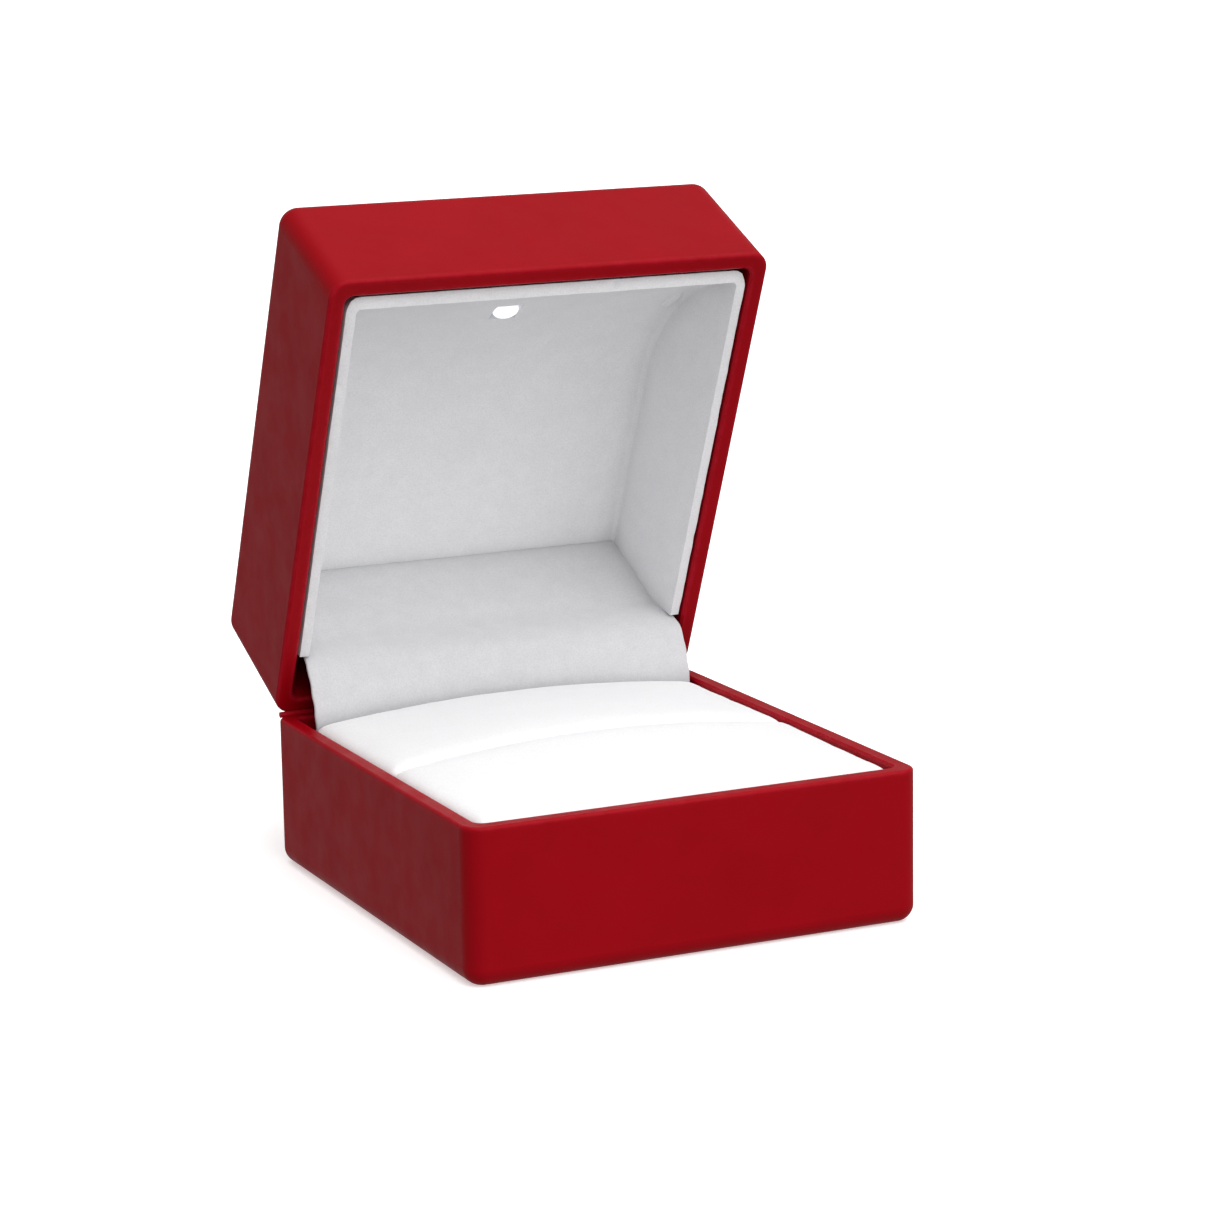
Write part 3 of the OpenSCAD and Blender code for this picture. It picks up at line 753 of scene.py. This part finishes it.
@dataclass
class FrameParts:
    """The rigid parts that the frame already holds in their right shape."""

    finishes: Finishes

    def build(self) -> None:
        """Dress each rigid part of the frame."""
        f = self.finishes
        edge_highlight_and_part_finishes = {
            "base_shell": f.lacquer, "lid_shell": f.lacquer,
            "insert_board": f.card, "lid_back_board": f.card,
            "battery_case": f.black_plastic, "battery_cover": f.black_plastic,
            "button_cells": f.cell, "battery_contacts": f.brass,
            "switch_body": f.black_plastic, "switch_cap": f.black_plastic,
            "switch_terminals": f.brass, "switch_plunger": f.ivory_plastic,
            "base_hinge_leaf": f.steel, "lid_hinge_leaf": f.steel,
            "hinge_pin": f.pin_steel,
            "base_hinge_screws": f.pin_steel, "lid_hinge_screws": f.pin_steel,
            "switch_lead": f.red_lead, "base_lead_red": f.red_lead,
            "base_lead_black": f.black_lead,
            "lid_lead_red": f.red_lead, "lid_lead_black": f.black_lead,
            "lamp_housing": f.black_plastic,
            "lamp_board": f.board, "lamp_resistor": f.chip,
        }
        for node, material in edge_highlight_and_part_finishes.items():
            dress_node(node, material)


# ---------------------------------------------------------------- cushion


@dataclass
class Pad:
    """One of the two foam pads that hold the ring between them.

    The pad starts as a block that fills its bay, is blown up a little as cloth, and then
    rests on its board and against the walls under its crown.
    """

    node: str
    finishes: Finishes
    front_wall: float
    back_wall: float
    side_wall: float = 27.7
    foot: float = 9.26
    edge_top: float = 19.35
    rise: float = 2.50
    crown_y: float = 6.0
    crown_reach: float = 36.0
    slot_y: float = -2.1
    seam_fill: float = 0.32
    seam_blend: float = 1.5
    seam_end: float = 2.0
    edge_round: float = 0.4
    swell: float = 0.30
    blown_up: float = 10.0
    voxel: float = 0.75
    pressure: float = 4.0
    frames: int = 20
    foam: float = 0.10
    pile: float = 0.05

    def start_block(self) -> bpy.types.Object:
        """Shape the block with rounded edges and give it an even mesh."""
        deselect_all()
        middle = (self.front_wall + self.back_wall) / 2
        bpy.ops.mesh.primitive_cube_add(
            size=1, location=(0, middle * MM, (self.foot + self.edge_top) / 2 * MM))
        piece = begin(self.node.replace("cushion", "pad"),
                      (2 * self.side_wall, self.back_wall - self.front_wall,
                       self.edge_top - self.foot))
        apply_modifier(piece, "BEVEL", width=self.edge_round * MM, segments=3)
        set_place(piece, Matrix.Scale(self.blown_up, 4))
        apply_modifier(piece, "REMESH", mode="VOXEL",
                       voxel_size=self.voxel * MM * self.blown_up)
        return piece

    def across(self, x: float) -> float:
        """Return a share that falls from 1 in the middle to 0 at the side walls."""
        return max(0.0, 1 - (x / self.side_wall) ** 2)

    def crown(self, x: float, y: float) -> float:
        """Return how far the pad's top stands above its edge at a place."""
        along = max(0.0, 1 - ((y - self.crown_y) / self.crown_reach) ** 2)
        return self.rise * self.across(x) * along

    def seam(self, x: float, y: float, z: float) -> float:
        """Return how far the top's edge at the ring's slot is pushed up."""
        near = max(0.0, 1 - abs(y - self.slot_y)) * max(0.0, 1 - (self.edge_top - z))
        return (self.seam_fill * min(1.0, near * self.seam_blend)
                * min(1.0, self.across(x) * self.seam_end))

    def inflate(self, piece: bpy.types.Object) -> None:
        """Blow the pad up as cloth and keep the swollen shape, within the swell.

        Args:
            piece: the pad at its blown up scale.
        """
        rest = [v.co.copy() for v in piece.data.vertices]
        take(piece)
        cloth = piece.modifiers.new("Cloth", "CLOTH")
        cloth.settings.use_pressure = True
        cloth.settings.uniform_pressure_force = self.pressure
        cloth.settings.quality = 5
        cloth.settings.effector_weights.gravity = 0
        cloth.point_cache.frame_start = 1
        cloth.point_cache.frame_end = self.frames
        scene = bpy.context.scene
        for step in range(1, self.frames + 1):
            scene.frame_set(step)
        bpy.ops.object.modifier_apply(modifier=cloth.name)
        scene.frame_set(1)
        limit = self.swell * MM * self.blown_up
        for vertex, start in zip(piece.data.vertices, rest):
            move = vertex.co - start
            if move.length > limit:
                move *= limit / move.length
            vertex.co = start + move

    def settle(self, piece: bpy.types.Object) -> None:
        """Bring the pad back to size and rest it on its board and the walls.

        Args:
            piece: the pad at its blown up scale.
        """
        set_place(piece, Matrix.Scale(1 / self.blown_up, 4))
        for vertex in piece.data.vertices:
            x, y, z = (v / MM for v in vertex.co)
            x = max(-self.side_wall, min(self.side_wall, x))
            y = max(self.front_wall, min(self.back_wall, y))
            lift = self.crown(x, y) * max(0.0, (z - self.foot) / (self.edge_top - self.foot))
            z = max(self.foot, z + lift + self.seam(x, y, z))
            vertex.co = Vector((x, y, z)) * MM

    def build(self) -> bpy.types.Object:
        """Make the pad.

        Returns:
            The finished pad.
        """
        piece = self.start_block()
        self.inflate(piece)
        self.settle(piece)
        apply_modifier(piece, "SMOOTH", factor=0.5, iterations=3)
        apply_modifier(piece, "SUBSURF", levels=1, render_levels=1)
        ripple(piece, f"{self.node}_foam", 7.0, self.foam)
        ripple(piece, f"{self.node}_pile", 0.5, self.pile)
        take(piece)
        bpy.ops.object.shade_smooth()
        dress(piece, self.finishes.pad_velvet)
        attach(piece, Body.BASE.value)
        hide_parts(self.node)
        log.info("made %s with %d faces", piece.name, len(piece.data.polygons))
        return piece


@dataclass
class Cushion:
    """The two pads of the insert."""

    finishes: Finishes
    slot_y: float = Pad.slot_y
    slot_half: float = 0.02
    front: float = -30.1
    back: float = 25.25

    def build(self) -> None:
        """Make both pads."""
        Pad("front_cushion", self.finishes, self.front, self.slot_y - self.slot_half).build()
        Pad("rear_cushion", self.finishes, self.slot_y + self.slot_half, self.back).build()


# ---------------------------------------------------------------- lid lining


@dataclass(frozen=True)
class LiningLines:
    """The lining's outline on the shut box, as depth and height of its corners."""

    foot: tuple[float, float] = (-28.3, 20.05)
    corner: tuple[float, float] = (-22.1, 37.1)
    back_head: tuple[float, float] = (22.4, 37.1)
    back_foot: tuple[float, float] = (24.5, 24.65)
    back_rim: tuple[float, float] = (23.6, 20.05)
    side_face: float = 26.1
    side_lean: float = 1.4


@dataclass(frozen=True)
class Window:
    """The lamp's window: its middle on the shut box, its axis and its size."""

    middle: Point = (0.0, -19.3, 32.0)
    axis: Point = (0.0, 0.588, -0.809)
    run: Point = (0.0, 0.809, 0.588)
    width: float = 3.8
    height: float = 4.2
    depth: float = 2.0

    def holds(self, point: Vector) -> bool:
        """Tell whether a point, in metres, lies in the window's opening."""
        away = point / MM - Vector(self.middle)
        return (abs(away.x) < self.width / 2
                and abs(away.dot(Vector(self.run))) < self.height / 2
                and abs(away.dot(Vector(self.axis))) < self.depth)

    def place(self) -> Matrix:
        """Return the matrix from an upright piece to the window on the shut box."""
        turn = Vector(self.axis).to_track_quat("Z", "Y").to_matrix().to_4x4()
        return Matrix.Translation(Vector(self.middle) * MM) @ turn


@dataclass
class LidLining:
    """The velvet cup inside the lid, with a vaulted front and the lamp's window."""

    finishes: Finishes
    lines: LiningLines = field(default_factory=LiningLines)
    window: Window = field(default_factory=Window)
    vault: float = 17.7
    vault_steps: int = 18
    corner_round: float = 0.6
    thick: float = 1.3
    ceiling: float = 37.95
    under_flap: float = 0.12
    lip_reach: float = 1.6
    lip_front: float = -28.9
    lip_push: float = 0.45
    cell: float = 0.8
    lip: float = 0.42
    nap: float = 0.14
    pile: float = 0.10
    stock: tuple[float, float] = (60, 64)
    stock_y: float = -2
    back: float = 15
    same: float = 0.05

    def block(self) -> bpy.types.Object:
        """Cut the space inside the lining out of a block."""
        line = self.lines
        low, high = line.foot[1], line.corner[1]
        deselect_all()
        tall = high - low
        bpy.ops.mesh.primitive_cube_add(
            size=1, location=(0, self.stock_y * MM, (low + high) / 2 * MM))
        piece = begin("lining_cup", (*self.stock, tall))
        bpy.ops.object.mode_set(mode="EDIT")
        planes = [((s * line.side_face, 0, low), (s * tall, 0, line.side_lean))
                  for s in (-1, 1)]
        for (ay, az), (by, bz) in ((line.corner, line.foot), (line.back_rim, line.back_foot),
                                   (line.back_foot, line.back_head)):
            outward = -1 if ay < 0 else 1
            depth = self.under_flap if outward > 0 else 0.0
            planes.append(((0, ay + depth, az), (0, outward * abs(bz - az),
                                         outward * (ay - by) * (1 if bz > az else -1))))
        for point, normal in planes:
            cut([v * MM for v in point], normal, fill=True)
        return piece

    def open_up(self, piece: bpy.types.Object) -> None:
        """Vault the front, open the rim and the back, and round the corners.

        Args:
            piece: the block, in edit mode.
        """
        line = self.lines

        def ridge(edge: bmesh.types.BMEdge) -> bool:
            """Accept the edge between the front and the ceiling."""
            return all(abs(v.co.y / MM - line.corner[0]) < self.same
                       and abs(v.co.z / MM - line.corner[1]) < self.same for v in edge.verts)

        def side_corner(edge: bmesh.types.BMEdge) -> bool:
            """Accept the edges between a side and the vault or the ceiling."""
            steep = sorted(abs(f.normal.x) for f in edge.link_faces)
            return len(steep) == 2 and steep[0] < 0.5 and steep[1] > 0.9

        select_edges(piece, ridge)
        bpy.ops.mesh.bevel(offset=self.vault * MM, segments=self.vault_steps, affect="EDGES")
        select_faces(piece, lambda c, n: n.z < -0.9 or (n.y > 0.9 and c.y > self.back * MM))
        bpy.ops.mesh.delete(type="FACE")
        select_edges(piece, side_corner)
        bpy.ops.mesh.bevel(offset=self.corner_round * MM, segments=4, affect="EDGES")

    def slice_up(self, piece: bpy.types.Object) -> None:
        """Cut the cup into small even faces and take the window out.

        Args:
            piece: the cup, in edit mode.
        """
        line, window = self.lines, self.window
        for axis, (start, end) in enumerate(((-line.side_face, line.side_face),
                                             (line.foot[0], line.back_foot[0]),
                                             (line.foot[1], line.corner[1]))):
            count = round((end - start) / self.cell)
            for i in range(1, count):
                point, normal = [0.0] * 3, [0.0] * 3
                point[axis] = (start + (end - start) * i / count) * MM
                normal[axis] = 1.0
                cut(point, normal, clear=False)
        middle = Vector(window.middle)
        for sign in (-1, 1):
            side = middle + Vector((sign * window.width / 2, 0, 0))
            end = middle + sign * window.height / 2 * Vector(window.run)
            cut(side * MM, (1, 0, 0), clear=False)
            cut(end * MM, window.run, clear=False)
        select_faces(piece, lambda c, n: window.holds(c))
        bpy.ops.mesh.delete(type="FACE")

    def cup(self) -> None:
        """Make the cup and swing it open with the lid."""
        piece = self.block()
        self.open_up(piece)
        self.slice_up(piece)
        bpy.ops.object.mode_set(mode="OBJECT")
        apply_modifier(piece, "SOLIDIFY", thickness=self.thick * MM, offset=1,
                       use_even_offset=True)
        for vertex in piece.data.vertices:
            vertex.co.z = min(vertex.co.z, self.ceiling * MM)
            low = max(0.0, 1 - (vertex.co.z / MM - self.lines.foot[1]) / self.lip_reach)
            if vertex.co.y < self.lip_front * MM:
                vertex.co.y -= self.lip_push * low * MM
        apply_modifier(piece, "BEVEL", width=self.lip * MM, segments=3, limit_method="ANGLE",
                       angle_limit=math.radians(60))
        weld(piece, 1e-5)
        ripple(piece, "cup_nap", 3.5, self.nap)
        ripple(piece, "cup_pile", 0.9, self.pile)
        smooth(piece, 70)
        set_place(piece, HINGE.opening())
        dress(piece, self.finishes.lining_velvet_painted_brighter)
        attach(piece, Body.LID.value)
        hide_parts("lid_top_panel", "lid_slope_panel", "lid_side_panel_left",
                    "lid_side_panel_right")
        log.info("made %s with %d faces", piece.name, len(piece.data.polygons))

    def build(self) -> None:
        """Make the whole lining."""
        self.cup()
        Tuck(self.finishes).build()


@dataclass
class Tuck:
    """The pinched fold of velvet in the lining's right front corner."""

    finishes: Finishes
    size: Point = (1.5, 6.2, 1.2)
    taper: Point = (0.25, 1, 0.3)
    crest: Point = (0.15, 0, 0.25)
    crest_half: float = 1.6
    head: Point = (23.3, -17.0, 34.0)
    foot: Point = (24.2, -21.6, 30.5)
    pile: float = 0.06

    def build(self) -> None:
        """Taper a block to both ends, raise its crest and lay it in the corner."""
        deselect_all()
        bpy.ops.mesh.primitive_cube_add(size=1, location=(0, 0, 0))
        piece = begin("lining_tuck", self.size)
        bpy.ops.object.mode_set(mode="EDIT")
        bpy.ops.mesh.select_all(action="SELECT")
        bpy.ops.mesh.subdivide(number_cuts=3)
        for end in (-1, 1):
            select_faces(piece, lambda c, n, e=end: n.y * e > 0.9)
            bpy.ops.transform.resize(value=self.taper)
        select_faces(piece, lambda c, n: n.z > 0.9 and abs(c.y) < self.crest_half * MM)
        bpy.ops.transform.translate(value=[v * MM for v in self.crest])
        bpy.ops.object.mode_set(mode="OBJECT")
        apply_modifier(piece, "SUBSURF", levels=3, render_levels=3)
        ripple(piece, "tuck_pile", 0.45, self.pile)
        smooth(piece, 80)
        head, foot = Vector(self.head), Vector(self.foot)
        turn = (foot - head).to_track_quat("Y", "Z").to_matrix().to_4x4()
        set_place(piece, HINGE.opening() @ Matrix.Translation((head + foot) / 2 * MM) @ turn)
        weld(piece)
        dress(piece, self.finishes.lining_velvet_painted_brighter)
        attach(piece, Body.LID.value)
        log.info("made %s", piece.name)


@dataclass
class Lens:
    """The lamp's milky lens, a short rod with a flattened dome."""

    finishes: Finishes
    window: Window = field(default_factory=Window)
    radius: float = 1.72
    rod: float = 2.2
    sides: int = 48
    dome: tuple[tuple[float, float], ...] = (
        (1.66, 0.20), (1.52, 0.40), (1.30, 0.58), (0.95, 0.73), (0.55, 0.83), (0.20, 0.87))

    def build(self) -> None:
        """Turn the rod's end into a dome and set it in the window."""
        deselect_all()
        bpy.ops.mesh.primitive_cylinder_add(
            vertices=self.sides, radius=self.radius * MM, depth=self.rod * MM,
            location=(0, 0, -self.rod / 2 * MM))
        piece = bpy.context.active_object
        piece.name = piece.data.name = "lamp_lens"
        set_place(piece)
        bpy.ops.object.mode_set(mode="EDIT")
        select_faces(piece, lambda c, n: n.z > 0.9)
        radius, height = self.radius, 0.0
        for next_radius, next_height in self.dome:
            bpy.ops.mesh.extrude_region_move(
                TRANSFORM_OT_translate={"value": (0, 0, (next_height - height) * MM)})
            share = next_radius / radius
            bpy.ops.transform.resize(value=(share, share, 1),
                                     center_override=(0, 0, next_height * MM))
            radius, height = next_radius, next_height
        bpy.ops.object.mode_set(mode="OBJECT")
        weld(piece)
        smooth(piece, 40)
        set_place(piece, HINGE.opening() @ self.window.place())
        dress(piece, self.finishes.lens)
        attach(piece, Body.LID.value)
        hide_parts("lamp")
        log.info("made %s", piece.name)


# ---------------------------------------------------------------- hinge cloth


@dataclass
class HingeCloth:
    """The velvet cloth over the hinge, which goes on as the lid's back lining."""

    finishes: Finishes
    lines: LiningLines = field(default_factory=LiningLines)
    half_width: float = 26.95
    offset: float = 0.2
    head_half: float = 26.3
    taper_from: float = 15.0
    thick: float = 0.5
    foot_y: float = 25.4
    cell: float = 0.6
    wave: float = 0.12
    free_middle: float = 10.0
    free_reach: float = 5.0
    edge_band: float = 1.5
    ragged: float = 0.05
    taper_length: float = 4.0
    pile: float = 0.05
    seed: int = 11

    def path(self) -> list[tuple[float, float]]:
        """Return the cloth's front face from behind the cushion into the lid."""
        y = self.foot_y
        rise = [(y, 12.2), (y, 18.0), (y + 0.3, 20.5), (y + 1.0, 22.9), (y + 1.9, 25.0),
                (y + 3.2, 26.8), (y + 5.3, 28.0)]
        foot, head = Vector(self.lines.back_foot), Vector(self.lines.back_head)
        along = (head - foot).normalized()
        lid = [foot, foot + 3 * along, head + 0.03 * along]
        line = through([*rise, *[HINGE.swing(*p) for p in lid[:2]]], 8)
        return [*line, HINGE.swing(*lid[2])]

    def build(self) -> None:
        """Cut the cloth flat, lay it along its path and give it its thickness."""
        path = [Vector(p) for p in self.path()]
        reach = [0.0]
        for a, b in zip(path, path[1:]):
            reach.append(reach[-1] + (b - a).length)
        length = reach[-1]
        deselect_all()
        bpy.ops.mesh.primitive_grid_add(
            x_subdivisions=round(2 * self.half_width / self.cell),
            y_subdivisions=round(length / self.cell), size=1)
        piece = begin("hinge_cloth", (2 * self.half_width, length, 1))
        rng = random.Random(self.seed)
        phases = [rng.uniform(0, 2 * math.pi) for _ in range(4)]
        for vertex in piece.data.vertices:
            x, s = vertex.co.x / MM, max(0.0, vertex.co.y / MM + length / 2)
            i = max(k for k in range(len(reach) - 1) if reach[k] <= s + 1e-9)
            t = (s - reach[i]) / (reach[i + 1] - reach[i])
            at = path[i].lerp(path[i + 1], min(t, 1.0))
            along = (path[i + 1] - path[i]).normalized()
            free = math.exp(-((s - self.free_middle) / self.free_reach) ** 2)
            lift = self.wave * free * (
                0.6 * math.sin(x / 8.0 + phases[0]) + 0.4 * math.sin(x / 3.7 + phases[1])
                + 0.3 * math.sin(x / 14.0 + s / 4.0 + phases[2]))
            side = 1 if x > 0 else -1
            near = max(0.0, abs(x) - (self.half_width - self.edge_band)) / self.edge_band
            ragged = self.ragged * near * math.sin(s * 2.1 + phases[3] * side) * free
            taper = min(1.0, max(0.0, (s - self.taper_from) / self.taper_length))
            share = 1 + (self.head_half / self.half_width - 1) * taper
            wide = x * share + self.offset * (1 - taper)
            vertex.co = Vector((wide + side * ragged, at.x + along.y * lift,
                                at.y - along.x * lift)) * MM
        weld_open(piece)
        apply_modifier(piece, "SOLIDIFY", thickness=self.thick * MM, offset=-1)
        apply_modifier(piece, "BEVEL", width=0.12 * MM, segments=2, limit_method="ANGLE",
                       angle_limit=math.radians(60))
        ripple(piece, "cloth_pile", 0.5, self.pile)
        smooth(piece, 70)
        weld(piece)
        dress(piece, self.finishes.flap_velvet)
        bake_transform(piece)
        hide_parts("hinge_flap")
        log.info("made %s, cut %.1f by %.1f mm", piece.name, 2 * self.half_width, length)


def weld_open(piece: bpy.types.Object) -> None:
    """Turn an open sheet's faces towards the front of the box."""
    take(piece)
    bpy.ops.object.mode_set(mode="EDIT")
    bpy.ops.mesh.select_all(action="SELECT")
    bpy.ops.mesh.normals_make_consistent(inside=False)
    bpy.ops.object.mode_set(mode="OBJECT")
    towards = sum((p.normal.y for p in piece.data.polygons), 0.0)
    if towards > 0:
        bpy.ops.object.mode_set(mode="EDIT")
        bpy.ops.mesh.flip_normals()
        bpy.ops.object.mode_set(mode="OBJECT")


# ---------------------------------------------------------------- hinge wires


@dataclass
class HingeSpring:
    """The wire spring round the pin, with an arm on each leaf."""

    finishes: Finishes
    wire: float = 0.4
    pin_d: float = 1.2
    turns: int = 6
    arm: float = 5.0
    arm_y: float = 28.05
    steps: int = 20

    def build(self) -> None:
        """Make the spring, wound with its lid arm swung open."""
        r = self.pin_d / 2 + 0.15 + self.wire / 2
        half = self.turns * self.wire * 0.62
        first, last = 270.0, 90.0 - HINGE.open_deg + 360.0 * (self.turns + 1)
        count = self.steps * self.turns
        coil = []
        for i in range(count + 1):
            a = math.radians(first + (last - first) * i / count)
            coil.append((-half + 2 * half * i / count, HINGE.y + r * math.cos(a),
                         HINGE.z + r * math.sin(a)))
        z = HINGE.z - r
        arm = [(-half, self.arm_y, z - self.arm), (-half, self.arm_y, z - 0.5),
               (-half, self.arm_y + 0.15, z - 0.15), (-half, self.arm_y + 0.5, z)]
        lid_arm = [(half, *HINGE.swing(y, 2 * HINGE.z - h)) for _, y, h in reversed(arm)]
        piece = tube("hinge_wire_spring", [*arm, *coil, *lid_arm], self.wire, 3)
        dress(piece, self.finishes.spring)
        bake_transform(piece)
        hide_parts("hinge_spring")
        log.info("made %s", piece.name)


@dataclass
class HingeBeads:
    """The red sealing beads in the joint beside the hinge's leaves."""

    finishes: Finishes
    y: float = 32.08
    diameter: float = 0.80
    inner: float = 12.6
    outer: float = 29.4
    keep: float = 0.6
    wander: float = 0.02
    steps: int = 12
    seed: int = 5

    def build(self) -> None:
        """Lay one bead on each side of the hinge."""
        rng = random.Random(self.seed)
        for side in Side:
            ends = (self.inner, self.outer) if side is Side.RIGHT else (-self.outer, -self.inner)
            route = []
            for i in range(self.steps + 1):
                x = ends[0] + (ends[1] - ends[0]) * i / self.steps
                route.append((x, self.y + rng.uniform(-self.wander, 0.0),
                              HINGE.z + rng.uniform(-self.wander, self.wander)))
            piece = tube(f"hinge_bead_{side.name.lower()}", route, self.diameter, 4)
            dress(piece, self.finishes.lacquer)
            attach(piece, Body.BASE.value)
            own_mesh(piece)
            log.info("made %s", piece.name)


@dataclass
class LeadLoops:
    """The two leads where they loop over the hinge."""

    finishes: Finishes
    lead_d: float = 0.9
    y: float = 28.8
    foot: float = 14.0
    head: float = 25.0

    def route(self, x: float) -> list[Point]:
        """Return one loop's centreline.

        Args:
            x: its place across the box.
        """
        points = [(x, self.y, self.foot + 0.05), (x, self.y - 0.1, 17.0),
                  (x, self.y - 0.2, 20.1), (x, self.y + 1.4, 22.7),
                  (x, *HINGE.swing(self.y - 0.2, self.head - 1.6)),
                  (x, *HINGE.swing(self.y, self.head - 0.1))]
        return through(points, 8)

    def build(self) -> None:
        """Make both loops, bent over the open hinge."""
        for name, x, material, slot in (
                ("lead_loop_red", 16.0, self.finishes.red_lead, Slot.RED_INSULATION),
                ("lead_loop_black", 18.0, self.finishes.black_lead, Slot.BLACK_INSULATION)):
            piece = tube(name, self.route(x), self.lead_d, 3)
            dress(piece, material)
            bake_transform(piece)
            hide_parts("hinge_leads")
            log.info("made %s", piece.name)


@dataclass
class SwitchSpring:
    """The coil under the switch's plunger."""

    finishes: Finishes
    x: float = -19.0
    y: float = 28.55
    wire: float = 0.25
    radius: float = 1.025
    foot: float = 10.545
    head: float = 13.955
    turns: int = 6
    travel: float = 0.8

    def build(self) -> None:
        """Make the coil at its full length."""
        steps = 24
        route = []
        for i in range(self.turns * steps + 1):
            a = 2 * math.pi * i / steps
            route.append((self.x + self.radius * math.cos(a), self.y + self.radius * math.sin(a),
                          self.foot + (self.head - self.foot) * i / (self.turns * steps)))
        piece = tube("switch_coil", route, self.wire, 2)
        dress(piece, self.finishes.spring)
        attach(piece, Body.BASE.value)
        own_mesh(piece)
        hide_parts("switch_spring")
        log.info("made %s", piece.name)


# ---------------------------------------------------------------- studio


@dataclass
class Studio:
    """The floor, the light and the camera."""

    floor_size: float = 14.0
    world: float = 0.42
    lens: float = 109.78
    camera_at: Point = (-0.187635, -0.414573, 0.130747)
    azimuth: float = 24.72
    elevation: float = 11.665
    roll: float = -1.018

    def floor(self) -> None:
        """Lay the plain pale floor."""
        deselect_all()
        bpy.ops.mesh.primitive_plane_add(size=self.floor_size, location=(0, 0, 0))
        floor = bpy.context.active_object
        floor.name = floor.data.name = "floor"
        paint = Paint("pale_floor")
        paint.set(Base_Color=paint.mix(paint.noise(900.0), (0.94, 0.94, 0.94), (0.93, 0.93, 0.93)),
                  Roughness=0.9, Specular_IOR_Level=0.0,
                  Emission_Color=(1, 1, 1, 1), Emission_Strength=0.45)
        floor.data.materials.append(paint.material)
        floor.visible_diffuse = floor.visible_glossy = False

    def sun(self, name: str, turn: Point, strength: float, spread: float,
            colour: Colour = (1, 1, 1)) -> None:
        """Add one very soft light.

        Args:
            name: the light's name.
            turn: its direction, as turns in degrees from straight down.
            strength: its strength.
            spread: the angle that it fills, in degrees.
            colour: its colour.
        """
        light = bpy.data.lights.new(name, "SUN")
        light.energy, light.angle, light.color = strength, math.radians(spread), colour
        lamp = bpy.data.objects.new(name, light)
        lamp.rotation_euler = [math.radians(v) for v in turn]
        lamp.location = (0, 0, 1)
        bpy.context.scene.collection.objects.link(lamp)

    def light(self) -> None:
        """Light the box softly from above and from the front."""
        world = bpy.data.worlds.new("studio")
        world.use_nodes = True
        world.node_tree.nodes["Background"].inputs["Color"].default_value = (1, 1, 1, 1)
        world.node_tree.nodes["Background"].inputs["Strength"].default_value = self.world
        bpy.context.scene.world = world
        self.sun("softbox_above", (14, 8, 0), 1.90, 80)
        self.sun("softbox_front", (66, 0, 12), 1.35, 70)

    def camera(self) -> None:
        """Set up the camera in front, to the left and a little above."""
        data = bpy.data.cameras.new("camera")
        data.lens, data.sensor_width = self.lens, 36.0
        data.clip_start, data.clip_end = 0.01, 50.0
        camera = bpy.data.objects.new("camera", data)
        turn = (Matrix.Rotation(math.radians(-self.azimuth), 4, "Z")
                @ Matrix.Rotation(math.radians(90 - self.elevation), 4, "X")
                @ Matrix.Rotation(math.radians(self.roll), 4, "Z"))
        camera.matrix_world = Matrix.Translation(self.camera_at) @ turn
        bpy.context.scene.collection.objects.link(camera)
        bpy.context.scene.camera = camera

    def build(self) -> None:
        """Set up the whole studio."""
        self.floor()
        self.light()
        self.camera()
        bpy.context.scene.view_settings.view_transform = "Standard"


def main() -> None:
    """Build the box in order."""
    logging.basicConfig(level=logging.INFO, format="%(name)s: %(message)s")
    Studio().build()
    finishes = Finishes()
    FrameParts(finishes).build()
    Cushion(finishes).build()
    LidLining(finishes).build()
    Lens(finishes).build()
    HingeCloth(finishes).build()
    HingeSpring(finishes).build()
    HingeBeads(finishes).build()
    LeadLoops(finishes).build()
    SwitchSpring(finishes).build()


if __name__ == "__main__":
    main()
